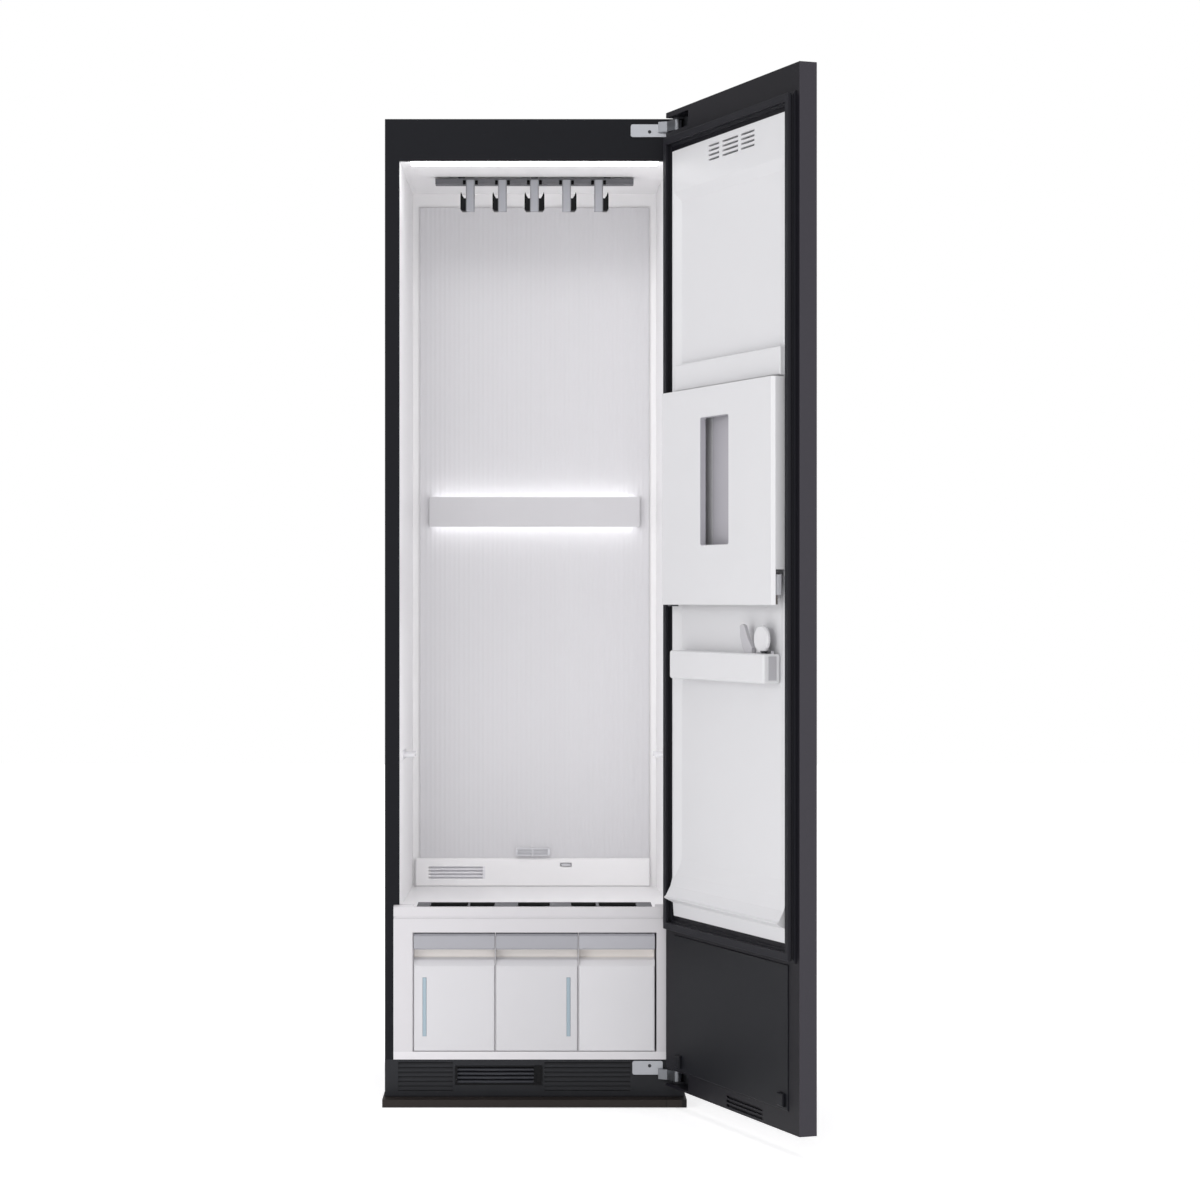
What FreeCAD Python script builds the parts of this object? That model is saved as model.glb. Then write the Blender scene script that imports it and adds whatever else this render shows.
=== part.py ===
import FreeCAD, Part
import Sketcher
import math
import os
import re

# Clothes care steam cabinet with its door open, in millimetres, +Z up.
# The origin is on the floor, on the cabinet's centre plane, in the plane of the front frame that the door
# closes on.
# X runs towards the hinge side and Y runs into the cabinet.
# Door pieces are drawn flat on the door (x from the hinge edge, y out from the inner face), then hung on the
# pivot.

doc = FreeCAD.newDocument("steam_cabinet")
sheet = doc.addObject("Spreadsheet::Sheet", "sizes")
aliases = []
pieces = []


def size(alias, number, meaning):
    """Add one driving dimension to the sheet."""
    row = len(aliases) + 1
    sheet.set(f"A{row}", alias)
    sheet.set(f"B{row}", str(number))
    sheet.set(f"C{row}", meaning)
    sheet.setAlias(f"B{row}", alias)
    sheet.recompute()
    aliases.append(alias)


def bound(text):
    """The expression with each alias read from the sheet."""
    return re.sub(r"[a-z][a-z_]+[a-z]", lambda m: "sizes." + m[0] if m[0] in aliases else m[0], f"{text}")


def value(text):
    """The number that an expression gives now."""
    answer = sheet.evalExpression(bound(text).replace("sizes.", ""))
    return getattr(answer, "Value", answer)


def span(side, near, far):
    """Two X expressions in rising order, for the hinge side (1) or mirrored to the other side (-1)."""
    if side > 0:
        return near, far
    return f"-({far})", f"-({near})"


def block(x, y, z, name="block"):
    """A rectangular solid between two corners."""
    box = doc.addObject("Part::Box", name)
    for prop, (low, high) in zip(("Length", "Width", "Height"), (x, y, z)):
        box.setExpression(prop, bound(f"({high}) - ({low})"))
    for axis, (low, high) in zip("xyz", (x, y, z)):
        box.setExpression(f"Placement.Base.{axis}", bound(low))
    return box


def rod(centre, radius, low, high, axis="Z", name="rod"):
    """A round bar along X, Y or Z; centre gives the two other coordinates in X, Y, Z order."""
    bar = doc.addObject("Part::Cylinder", name)
    bar.setExpression("Radius", bound(radius))
    bar.setExpression("Height", bound(f"({high}) - ({low})"))
    turn = {"X": (0, 1, 0, 90), "Y": (1, 0, 0, -90), "Z": (0, 0, 1, 0)}[axis]
    bar.Placement.Rotation = FreeCAD.Rotation(FreeCAD.Vector(*turn[:3]), turn[3])
    places = list(centre)
    places.insert("XYZ".index(axis), low)
    for letter, place in zip("xyz", places):
        bar.setExpression(f"Placement.Base.{letter}", bound(place))
    return bar


def sketch_on(body, role, points, offset):
    """A closed outline on an origin plane: every corner is held by two dimensions from the sheet."""
    sketch = body.newObject("Sketcher::SketchObject", "outline")
    plane = [feature for feature in body.Origin.OriginFeatures if feature.Role == role][0]
    sketch.AttachmentSupport = [(plane, "")]
    sketch.MapMode = "FlatFace"
    sketch.setExpression("AttachmentOffset.Base.z", bound(offset))
    corners = [FreeCAD.Vector(value(a), value(b), 0) for a, b in points]
    count = len(corners)
    for i in range(count):
        sketch.addGeometry(Part.LineSegment(corners[i], corners[(i + 1) % count]))
    for i in range(count):
        sketch.addConstraint(Sketcher.Constraint("Coincident", i, 2, (i + 1) % count, 1))
    for i, corner in enumerate(points):
        for kind, text, number in zip(("DistanceX", "DistanceY"), corner, corners[i]):
            held = sketch.addConstraint(Sketcher.Constraint(kind, -1, 1, i, 1, number))
            sketch.setExpression(f"Constraints[{held}]", bound(text))
    return sketch


def prism(axis, points, low, high, name="prism"):
    """A padded outline; points are (x, y) along Z, (x, z) along Y, or (y, z) along X."""
    body = doc.addObject("PartDesign::Body", name)
    role = {"X": "YZ_Plane", "Y": "XZ_Plane", "Z": "XY_Plane"}[axis]
    offset = f"-({high})" if axis == "Y" else low
    sketch = sketch_on(body, role, points, offset)
    pad = body.newObject("PartDesign::Pad", "pad")
    pad.Profile = sketch
    pad.setExpression("Length", bound(f"({high}) - ({low})"))
    sketch.Visibility = False
    return body


def turned(points, place=("0", "0", "0"), name="turned"):
    """An outline of (radius, height) points turned round a vertical axis at the place."""
    body = doc.addObject("PartDesign::Body", name)
    sketch = sketch_on(body, "XZ_Plane", points, "0")
    turn = body.newObject("PartDesign::Revolution", "turn")
    turn.Profile = sketch
    turn.ReferenceAxis = (sketch, ["V_Axis"])
    turn.Angle = 360
    for letter, text in zip("xyz", place):
        body.setExpression(f"Placement.Base.{letter}", bound(text))
    return body


def cut(base, *tools, name="cut"):
    """The base less the tools."""
    result = base
    for tool in tools:
        step = doc.addObject("Part::Cut", name)
        step.Base = result
        step.Tool = tool
        result = step
    return result


def fuse(*shapes, name="fuse"):
    """Several shapes as one; shapes that don't meet stay separate solids."""
    joined = doc.addObject("Part::MultiFuse", name)
    joined.Shapes = list(shapes)
    return joined


def group(*shapes, name="group"):
    """Separate solids kept in one piece."""
    made = doc.addObject("Part::Compound", name)
    made.Links = list(shapes)
    return made


def straight_edges(base, reach, wanted):
    """The straight edges for which wanted(direction, middle) is true; directions come as x, y or z."""
    base.recompute(True)
    chosen = []
    for number, edge in enumerate(base.Shape.Edges, 1):
        if edge.Curve.TypeId != "Part::GeomLine":
            continue
        along = edge.tangentAt(edge.FirstParameter)
        letter = "xyz"[max(range(3), key=lambda i: abs(along[i]))]
        if wanted(letter, edge.CenterOfMass):
            chosen.append((number, value(reach), value(reach)))
    return chosen


def rounded(base, radius, wanted):
    """Round the wanted straight edges."""
    made = doc.addObject("Part::Fillet", "rounded")
    made.Base = base
    made.Edges = straight_edges(base, radius, wanted)
    return made


def bevelled(base, length, wanted):
    """Bevel the wanted straight edges."""
    made = doc.addObject("Part::Chamfer", "bevelled")
    made.Base = base
    made.Edges = straight_edges(base, length, wanted)
    return made


def piece(label, shape):
    """Name a finished piece."""
    shape.Label = label
    pieces.append(shape)
    return shape


def hang(shape):
    """Place a piece drawn flat on the door: turned by the open angle about the hinge pivot."""
    turn = "(180 + door_open) * 1 deg"
    along = f"cos({turn}) * pivot_in - sin({turn}) * pivot_deep"
    across = f"sin({turn}) * pivot_in + cos({turn}) * pivot_deep"
    shape.setExpression("Placement.Base.x", bound(f"{pivot_x} - ({along})"))
    shape.setExpression("Placement.Base.y", bound(f"{pivot_y} - ({across})"))
    shape.Placement.Rotation = FreeCAD.Rotation(FreeCAD.Vector(0, 0, 1), 1)
    shape.setExpression("Placement.Rotation.Angle", bound(turn))
    return shape


def door_piece(label, shape):
    """Name a finished piece of the door and hang it."""
    return piece(label, hang(group(shape, name="hung")))


# ---------------------------------------------------------------- overall sizes
size("cabinet_width", 593, "outside of the side panels")
size("cabinet_depth", 546.5, "front frame to the outside of the rear cover")
size("cabinet_top", 1952, "top cover above the floor")
size("body_low", 21, "underside of the steel body above the floor")
size("sheet_steel", 1.5, "thickness of the painted steel panels")
size("rear_sheet", 2, "thickness of the rear cover")
size("fold", 12, "folded lips of the steel panels")
size("frame_depth", 14, "front frame, front to back")
size("frame_side", 28.5, "front frame beside the garment opening")
size("frame_head", 82.5, "front frame above the garment opening")
size("bay_side", 17, "front frame beside the tank bay")
size("bay_height", 306.5, "height of the tank bay frame")
size("grille_height", 67.5, "height of the base grille")
size("head_room", 82, "space over the cavity's ceiling, up to the outside of the top cover")
size("fit_gap", 0.4, "clearance beside a moving piece")

cabinet_half = "(cabinet_width / 2)"
rear_face = "(cabinet_depth - rear_sheet)"
top_panel_low = "(cabinet_top - sheet_steel)"
opening_half = "(cabinet_width / 2 - frame_side)"
opening_top = "(cabinet_top - frame_head)"
bay_half = "(cabinet_width / 2 - bay_side)"
bay_low = "(body_low + grille_height)"
bay_top = "(body_low + grille_height + bay_height)"
cavity_top = "(cabinet_top - head_room)"

# ---------------------------------------------------------------- floor plinth and feet
size("plinth_over", 3.5, "plinth beyond each side panel")
size("plinth_ahead", 39, "plinth strip in front of the front frame")
size("plinth_inset", 6, "plinth inside the rear cover")
size("plinth_height", 15, "height of the plinth")
size("plinth_wall", 8, "thickness of the plinth")
size("plinth_corner", 3, "radius of the plinth's upright corners")
size("lug_width", 12, "width of the lugs that carry the base tray")
size("lug_length", 30, "length of the lugs")
size("lug_in", 70, "front lugs behind the front frame")
size("lug_back", 120, "rear lugs before the rear cover's outside")
plinth_half = "(cabinet_width / 2 + plinth_over)"
outer = block((f"-{plinth_half}", plinth_half), ("-plinth_ahead", "cabinet_depth - plinth_inset"),
              ("0", "plinth_height"))
inner = block(
    (f"plinth_wall - {plinth_half}", f"{plinth_half} - plinth_wall"),
    ("plinth_wall - plinth_ahead", "cabinet_depth - plinth_inset - plinth_wall"),
    ("-1", "plinth_height + 1"),
)
plinth = cut(outer, inner)
plinth = rounded(plinth, "plinth_corner", lambda way, mid: way == "z" and abs(mid.x) > value(plinth_half) - 1)
lugs = []
for side in (-1, 1):
    for depth in ("lug_in", "cabinet_depth - lug_back"):
        lug_x = span(side, f"{plinth_half} - 6 - lug_width", f"{plinth_half} - 6")
        lugs.append(block(lug_x, (depth, f"{depth} + lug_length"), ("plinth_height / 2", "body_low")))
piece("floor_plinth", fuse(plinth, *lugs))

size("foot_radius", 19, "levelling foot pad across its corners, halved")
size("foot_pad", 6, "thickness of the foot pad")
size("foot_stem", 8, "foot stem across its corners, halved")
size("foot_in", 41.5, "levelling feet inside the side panels")


def hexagon(x, y, radius):
    """The six corners of a hexagon round a point."""
    corners = []
    for corner in range(6):
        angle = math.radians(60 * corner)
        corners.append((f"{x} + {math.cos(angle):.6f} * {radius}", f"{y} + {math.sin(angle):.6f} * {radius}"))
    return corners


feet = []
for side in (-1, 1):
    for depth in ("frame_depth + 31", "cabinet_depth - 60"):
        x = f"{side} * ({cabinet_half} - foot_in)"
        pad = prism("Z", hexagon(x, depth, "foot_radius"), "0", "foot_pad", name="foot_pad")
        stem = prism("Z", hexagon(x, depth, "foot_stem"), "foot_pad - 1", "body_low", name="foot_stem")
        feet.append(fuse(pad, stem))
piece("levelling_feet", group(*feet))

# ---------------------------------------------------------------- steel base and wrapper
size("tray_height", 12, "height of the base tray's rim")
size("tray_wall", 3, "thickness of the base tray")
size("tray_gap", 3, "base tray inside the side panels' outer faces")
tray_half = "(cabinet_width / 2 - tray_gap)"
tray = block((f"-{tray_half}", tray_half), ("frame_depth", rear_face), ("body_low", "body_low + tray_height"))
hollow = block(
    (f"tray_wall - {tray_half}", f"{tray_half} - tray_wall"),
    ("frame_depth + tray_wall", f"{rear_face} - tray_wall"),
    ("body_low + tray_wall", "body_low + tray_height + 1"),
)
piece("base_tray", cut(tray, hollow))

for name, side in (("left", -1), ("right", 1)):
    skin = f"{side} * {cabinet_half}"
    inside = f"{side} * ({cabinet_half} - sheet_steel)"
    lip = f"{side} * ({cabinet_half} - fold)"
    outline = [
        (skin, "frame_depth"),
        (skin, rear_face),
        (lip, rear_face),
        (lip, f"{rear_face} - sheet_steel"),
        (inside, f"{rear_face} - sheet_steel"),
        (inside, "frame_depth + sheet_steel"),
        (lip, "frame_depth + sheet_steel"),
        (lip, "frame_depth"),
    ]
    panel = prism("Z", outline, "body_low + tray_height", top_panel_low, name="panel")
    piece(f"{name}_side_panel", panel)

top = prism(
    "X",
    [
        ("frame_depth", top_panel_low),
        ("frame_depth", "cabinet_top"),
        (rear_face, "cabinet_top"),
        (rear_face, f"{top_panel_low} - fold"),
        (f"{rear_face} - sheet_steel", f"{top_panel_low} - fold"),
        (f"{rear_face} - sheet_steel", top_panel_low),
    ],
    f"fold + 2 - {cabinet_half}",
    f"{cabinet_half} - fold - 2",
)
cheeks = block((f"-{cabinet_half}", cabinet_half), ("frame_depth", rear_face), (top_panel_low, "cabinet_top"))
piece("top_cover", fuse(top, cheeks))

size("louvre_slot_half", 80, "half the length of a slot in the rear cover")
size("louvre_slot_out", 130, "middle of each column of slots from the centre plane")
size("louvre_slot_high", 6, "height of a slot")
size("louvre_slot_pitch", 14, "pitch of the slots")
size("louvre_slot_rise", 49, "lowest slot above the underside of the body")
size("inlet_in", 56.5, "mains inlet inside the side panel")
size("inlet_rise", 149, "mains inlet above the underside of the body")
size("inlet_deep", 28, "depth of the inlet's housing")
inlet_x = "(cabinet_width / 2 - inlet_in)"
inlet_z = "(body_low + inlet_rise)"
rear = block((f"-{cabinet_half}", cabinet_half), (rear_face, "cabinet_depth"), ("body_low", "cabinet_top"))
slots = []
for column in (-1, 1):
    slot_x = span(column, "louvre_slot_out - louvre_slot_half", "louvre_slot_out + louvre_slot_half")
    for row in range(8):
        low = f"body_low + louvre_slot_rise + {row} * louvre_slot_pitch"
        slots.append(block(slot_x, (f"{rear_face} - 1", "cabinet_depth + 1"),
                           (low, f"{low} + louvre_slot_high")))
inlet = block((f"{inlet_x} - 22", f"{inlet_x} + 22"), (f"{rear_face} - inlet_deep", rear_face),
              (inlet_z, f"{inlet_z} + 32"))
inlet = bevelled(inlet, "4", lambda way, mid: way == "y")
recess_x = (f"{inlet_x} - 14", f"{inlet_x} + 14")
recess = block(recess_x, (f"{rear_face} - inlet_deep + 8", "cabinet_depth + 1"),
               (f"{inlet_z} + 6", f"{inlet_z} + 26"))
blades = []
for place in (-8, 0, 8):
    blade_x = (f"{inlet_x} + {place} - 1", f"{inlet_x} + {place} + 1")
    blade_y = (f"{rear_face} - inlet_deep + 7", f"{rear_face} - 5")
    blades.append(block(blade_x, blade_y, (f"{inlet_z} + 13", f"{inlet_z} + 19"), name="blade"))
piece("rear_cover", fuse(cut(fuse(rear, inlet), group(*slots), recess), *blades))

# ---------------------------------------------------------------- front frame round the opening
right_edge = [(cabinet_half, bay_low), (bay_half, bay_low), (bay_half, bay_top), (opening_half, bay_top)]
right_edge.append((opening_half, opening_top))
left_edge = [(f"-{x}", z) for x, z in reversed(right_edge)]
outline = right_edge + left_edge + [(f"-{cabinet_half}", "cabinet_top"), (cabinet_half, "cabinet_top")]
frame = prism("Y", outline, "0", "frame_depth")
frame = rounded(frame, "2",
                lambda way, mid: way == "z" and abs(mid.x) > value(cabinet_half) - 1 and mid.y < 1)
piece("front_frame", frame)

# ---------------------------------------------------------------- inner liner of the garment cavity
size("liner_wall", 3, "thickness of the moulded liner")
size("liner_flange", 14, "flange of the liner behind the front frame")
size("wall_lean", 7, "how far each side wall leans in at the back")
size("rear_space", 66.5, "rear wall of the cavity to the outside of the rear cover")
size("floor_drop", 10, "cavity floor below the top of the tank bay frame")
size("peg_rise", 300, "shelf pegs above the cavity floor")
size("peg_radius", 5, "radius of the shelf pegs")
size("peg_reach", 23, "length of the shelf pegs")
size("peg_near", 130, "front pegs behind the front frame's face")
size("peg_far", 190, "rear pegs behind the front frame's face")
size("peg_plate", 2, "thickness of the shelf peg plates")
size("peg_plate_half", 9, "half the height of the shelf peg plates")
back_half = "(cabinet_width / 2 - frame_side - wall_lean)"
cavity_back = "(cabinet_depth - rear_space)"
cavity_floor = f"({bay_top} - floor_drop)"


def wall_at(depth):
    """Half the width of the cavity at a depth."""
    return f"({opening_half} - wall_lean * ({depth} - frame_depth) / ({cavity_back} - frame_depth))"


liner = []
for side in (-1, 1):
    outline = [
        (f"{side} * {opening_half}", "frame_depth"),
        (f"{side} * ({opening_half} + liner_flange)", "frame_depth"),
        (f"{side} * ({opening_half} + liner_flange)", "frame_depth + liner_wall"),
        (f"{side} * ({opening_half} + liner_wall)", "frame_depth + liner_wall"),
        (f"{side} * ({back_half} + liner_wall)", cavity_back),
        (f"{side} * {back_half}", cavity_back),
    ]
    liner.append(prism("Z", outline, cavity_floor, cavity_top))
    for depth in ("peg_near", "peg_far"):
        peg_x = span(side, f"{wall_at(depth)} - peg_reach", f"{wall_at(depth)} + 1")
        liner.append(rod((depth, f"{cavity_floor} + peg_rise"), "peg_radius", *peg_x, axis="X", name="peg"))
    outline = []
    for depth, inset in (("peg_near - 20", "-1"), ("peg_far + 20", "-1"), ("peg_far + 20", "peg_plate"),
                         ("peg_near - 20", "peg_plate")):
        outline.append((f"{side} * ({wall_at(depth)} - {inset})", depth))
    plate_z = f"({cavity_floor} + peg_rise)"
    liner.append(prism("Z", outline, f"{plate_z} - peg_plate_half", f"{plate_z} + peg_plate_half",
                       name="peg_plate"))
rear_x = (f"-{back_half} - liner_wall", f"{back_half} + liner_wall")
liner.append(block(rear_x, (cavity_back, f"{cavity_back} + liner_wall"), (cavity_floor, cavity_top)))
piece("cavity_liner", fuse(*liner))

size("rail_back", 240, "hanger rail behind the front frame's face")
size("rail_half", 204, "half the hanger rail")
size("stem_in", 54, "outer rail hangers inside the ends of the rail")
size("stem_half", 7, "half the width of a rail hanger")
size("stem_deep", 4, "half the depth of a rail hanger")
size("rail_travel", 14, "how far the rail moves each way")
size("slot_gap", 4, "clearance of the rail hangers in the ceiling")
stem_out = "(rail_half - stem_in)"
ceiling_top = f"({cavity_top} + liner_wall)"
ceiling = block((f"-{opening_half}", opening_half), ("frame_depth", f"{cavity_back} + liner_wall"),
                (cavity_top, ceiling_top))
stem_slots = []
for place in (f"-{stem_out}", "0", stem_out):
    reach = "(stem_half + rail_travel + slot_gap)"
    slot_y = ("rail_back - stem_deep - slot_gap", "rail_back + stem_deep + slot_gap")
    stem_slots.append(block((f"{place} - {reach}", f"{place} + {reach}"), slot_y,
                            (f"{cavity_top} - 1", f"{ceiling_top} + 1")))
piece("cavity_ceiling", cut(ceiling, group(*stem_slots)))

size("panel_in", 15, "ribbed panel and light strip inside the cavity's rear corners")
size("strip_near", 1, "light strip behind the front frame")
size("strip_deep", 38, "depth of the light strip")
size("strip_thick", 3, "thickness of the light strip")
panel_half = f"({back_half} - panel_in)"
strip_y = ("frame_depth + strip_near", "frame_depth + strip_near + strip_deep")
light = block((f"-{panel_half}", panel_half), strip_y, (f"{cavity_top} - strip_thick", cavity_top))
light = rounded(light, "strip_thick / 2", lambda way, mid: mid.z < value(cavity_top) - 2 and way in "xy")
piece("ceiling_light", light)

# ---------------------------------------------------------------- ribbed panel with its light bar
size("panel_rise", 51, "bottom of the ribbed panel above the tank bay frame")
size("panel_drop", 30, "top of the ribbed panel below the ceiling")
size("rib_height", 1.6, "height of the vertical ribs")
size("rib_pitch", 10.25, "pitch of the vertical ribs")
size("panel_wall", 4, "thickness of the ribbed panel")
panel_low = f"({bay_top} + panel_rise)"
panel_high = f"({cavity_top} - panel_drop)"
valley = f"({cavity_back} - panel_wall)"
crest = f"({cavity_back} - panel_wall - rib_height)"
ribs = [(panel_half, cavity_back), (f"-{panel_half}", cavity_back)]
for rib in range(int(value(f"2 * {panel_half} / rib_pitch"))):
    start = f"{rib} * rib_pitch - {panel_half}"
    ribs.append((start, valley))
    ribs.append((f"{start} + rib_pitch / 2", crest))
ribs.append((panel_half, valley))
piece("ribbed_back_panel", prism("Z", ribs, panel_low, panel_high))

size("bar_in", 20.5, "wall light bar inside the ribbed panel's sides")
size("bar_drop", 650, "top of the wall light bar below the ceiling")
size("bar_height", 65, "height of the wall light bar")
size("bar_stand", 18, "front of the wall light bar before the rear wall")
size("bar_wall", 3, "thickness of the wall light bar's cover")
size("glow_in", 7, "diffuser inside the cover's edges")
bar_half = f"({panel_half} - bar_in)"
bar_high = f"({cavity_top} - bar_drop)"
bar_low = f"({cavity_top} - bar_drop - bar_height)"
bar_front = f"({cavity_back} - bar_stand)"
bar = block((f"-{bar_half}", bar_half), (bar_front, f"{bar_front} + bar_wall"), (bar_low, bar_high))
bar = rounded(bar, "bar_wall / 3", lambda way, mid: mid.y < value(bar_front) + 1)
piece("wall_light_cover", bar)
glow_x = (f"glow_in - {bar_half}", f"{bar_half} - glow_in")
glow = block(glow_x, (f"{bar_front} + bar_wall", crest), (f"{bar_low} + glow_in", f"{bar_high} - glow_in"))
piece("wall_light_diffuser", glow)

# ------------------------------------------------------- lower rear cover, sensor, steam outlet, floor
size("cover_thick", 9, "thickness of the lower rear cover")
size("cover_left_in", 5, "lower rear cover inside the cavity's left rear corner")
size("cover_right_in", 13, "lower rear cover inside the cavity's right rear corner")
size("cover_rise", 50.7, "top of the lower rear cover above the tank bay frame")
size("vent_in", 34, "air vent inside the cavity's left rear corner")
size("vent_long", 116, "length of the air vent")
size("vent_slot", 3.7, "height of a slot of the air vent")
size("vent_pitch", 7.3, "pitch of the slots of the air vent")
size("sensor_near", 55, "sensor socket from the centre plane")
size("sensor_long", 25, "length of the sensor socket")
size("sensor_high", 8.5, "height of the sensor socket")
size("sensor_drop", 9.5, "sensor socket below the top of the lower rear cover")
cover_front = f"({cavity_back} - cover_thick)"
cover_x = (f"cover_left_in - {back_half}", f"{back_half} - cover_right_in")
cover = block(cover_x, (cover_front, cavity_back), (f"{cavity_floor} + 0.2", f"{bay_top} + cover_rise"))
cover = bevelled(cover, "3", lambda way, mid: way == "y" or mid.y < value(cover_front) + 1)
vent = []
for row in range(4):
    low = f"({bay_top} + 7.3 + {row} * vent_pitch)"
    vent_x = (f"vent_in - {back_half}", f"vent_in + vent_long - {back_half}")
    vent.append(block(vent_x, (f"{cover_front} - 1", f"{cavity_back} - 3"), (low, f"{low} + vent_slot")))
socket_high = f"({bay_top} + cover_rise - sensor_drop)"
socket_low = f"({bay_top} + cover_rise - sensor_drop - sensor_high)"
socket_x = ("sensor_near", "sensor_near + sensor_long")
socket = block(socket_x, (f"{cover_front} - 1", f"{cavity_back} - 2"), (socket_low, socket_high))
bead_x = ("sensor_near + 3", "sensor_near + sensor_long - 3")
sensor = block(bead_x, (f"{cover_front} - 2", f"{cavity_back} - 1"),
               (f"{socket_low} + 1.5", f"{socket_high} - 1.5"))
piece("lower_rear_cover", fuse(cut(cover, group(*vent), socket), sensor))

size("outlet_left", 40, "steam outlet to the left of the centre plane")
size("outlet_right", 34, "steam outlet to the right of the centre plane")
size("outlet_high", 17, "height of the steam outlet")
size("outlet_stand", 13, "front of the steam outlet before the rear wall")
size("mouth_long", 30, "length of a mouth of the steam outlet")
size("mouth_high", 5, "height of a mouth of the steam outlet")
outlet_low = f"({panel_low} + 5)"
outlet_y = (f"{cavity_back} - outlet_stand", crest)
outlet = block(("-outlet_left", "outlet_right"), outlet_y, (outlet_low, f"{outlet_low} + outlet_high"))
outlet = bevelled(outlet, "3", lambda way, mid: way == "y")
mouths = []
for column in range(2):
    left = f"(4 - outlet_left + {column} * (mouth_long + 4))"
    for row in range(2):
        low = f"({outlet_low} + 2.5 + {row} * (mouth_high + 1.5))"
        mouth_y = (f"{cavity_back} - outlet_stand - 1", f"{cavity_back} - outlet_stand + 5")
        mouths.append(block((left, f"{left} + mouth_long"), mouth_y, (low, f"{low} + mouth_high")))
piece("steam_outlet", cut(outlet, group(*mouths)))

size("grille_in", 25, "floor grille inside the cavity's rear corners")
size("grille_near", 60, "front of the floor grille")
size("grille_deep", 89, "floor grille, front to back")
size("grille_thick", 6, "thickness of the floor grille")
size("grille_bar", 6, "bars between the floor grille's slots")
grille_half = f"({back_half} - grille_in)"
outline = [(opening_half, "frame_depth"), (back_half, cavity_back)]
outline += [(f"-{back_half}", cavity_back), (f"-{opening_half}", "frame_depth")]
floor = prism("Z", outline, f"{cavity_floor} - liner_wall", cavity_floor)
grille_x = (f"-{grille_half}", grille_half)
grille_y = ("grille_near", "grille_near + grille_deep")
hole = block(grille_x, grille_y, (f"{cavity_floor} - 10", f"{cavity_floor} + 1"))
piece("cavity_floor", cut(floor, hole))
grille = block(grille_x, grille_y, (f"{cavity_floor} - grille_thick", cavity_floor))
columns = [
    (f"27 - {grille_half}", f"102 - {grille_half}"),
    (f"106 - {grille_half}", f"156 - {grille_half}"),
    ("-33", "31"),
    (f"{grille_half} - 162", f"{grille_half} - 112"),
    (f"{grille_half} - 106", f"{grille_half} - 31"),
]
slot_y = ("grille_near + grille_bar", "grille_near + grille_deep - grille_bar")
openings = []
for column in columns:
    openings.append(block(column, slot_y, (f"{cavity_floor} - 8", f"{cavity_floor} + 1")))
piece("floor_grille", cut(grille, group(*openings)))

# ---------------------------------------------------------------- tank bay
size("bay_cheek", 37.5, "tank bay frame beside its mouth")
size("bay_sill", 15.5, "tank bay frame below its mouth")
size("bay_head", 55, "tank bay frame above its mouth")
size("machine_deep", 230.5, "machine room, front to back")
size("bay_wall", 3, "wall of the tank bay liner")
mouth_half = "(cabinet_width / 2 - bay_side - bay_cheek)"
mouth_low = f"({bay_low} + bay_sill)"
mouth_high = f"({bay_top} - bay_head)"
room_front = f"({rear_face} - machine_deep)"
frame = block((f"-{bay_half}", bay_half), ("0", "frame_depth"), (bay_low, bay_top))
mouth = block((f"-{mouth_half}", mouth_half), ("-1", "frame_depth + 1"), (mouth_low, mouth_high))
frame_x = (f"-{bay_half} - 1", f"{bay_half} + 1")
groove = [("-1", f"{bay_top} - 28"), ("1.5", f"{bay_top} - 27"), ("1.5", f"{bay_top} - 24"),
          ("-1", f"{bay_top} - 23")]
slope = [("-1", f"{bay_top} - 7"), ("4", f"{bay_top} + 1"), ("-1", f"{bay_top} + 1")]
dip = [("-1", f"{bay_top} - 3.5"), ("frame_depth + 1", f"{bay_top} - 7")]
dip += [("frame_depth + 1", f"{bay_top} + 1"), ("-1", f"{bay_top} + 1")]
dip_x = (f"-{grille_half} - 3", f"{grille_half} + 3")
frame = cut(frame, mouth, prism("X", groove, *frame_x), prism("X", slope, *frame_x),
            prism("X", dip, *dip_x, name="dip"))
piece("tank_bay_frame", frame)

shell_x = (f"-{mouth_half} - bay_wall", f"{mouth_half} + bay_wall")
shell = block(shell_x, ("frame_depth", room_front), (f"{mouth_low} - bay_wall", f"{mouth_high} + bay_wall"))
room = block((f"-{mouth_half}", mouth_half), ("frame_depth - 1", f"{room_front} - bay_wall"),
             (mouth_low, mouth_high))
piece("tank_bay_liner", cut(shell, room))

size("tank_wall", 3, "wall of the water tanks")
size("tank_back_gap", 46, "tanks before the back of the bay")
size("tank_top_gap", 2.6, "lids below the top of the bay's mouth")
size("lid_high", 31.4, "height of the tank lids")
size("lid_corner", 5, "slope along the front top edge of a lid")
size("grip_high", 16, "height of the grip recess under a lid")
size("grip_deep", 22, "depth of the grip recess behind the tank's face")
size("face_slope", 12, "height of the slope above the tank's face")
size("tank_face", 2, "tank's face behind the front frame's face")
size("tank_left_gap", 2.6, "supply tank beside the bay's mouth")
size("tank_right_gap", 3.5, "filter drawer beside the bay's mouth")
size("tank_gap", 2.6, "gap between two tanks")
size("drain_left", 76.4, "left side of the drain tank from the centre plane")
size("drain_right", 85.7, "right side of the drain tank from the centre plane")
tank_top = f"({mouth_high} - tank_top_gap)"
lid_low = f"({tank_top} - lid_high)"
tank_base = f"({mouth_low} + fit_gap)"
tank_back = f"({room_front} - bay_wall - tank_back_gap)"
grip_back = "(tank_face + grip_deep)"
supply_x = (f"tank_left_gap - {mouth_half}", "-drain_left - tank_gap")
drain_x = ("-drain_left", "drain_right")
drawer_x = ("drain_right + tank_gap", f"{mouth_half} - tank_right_gap")


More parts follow.
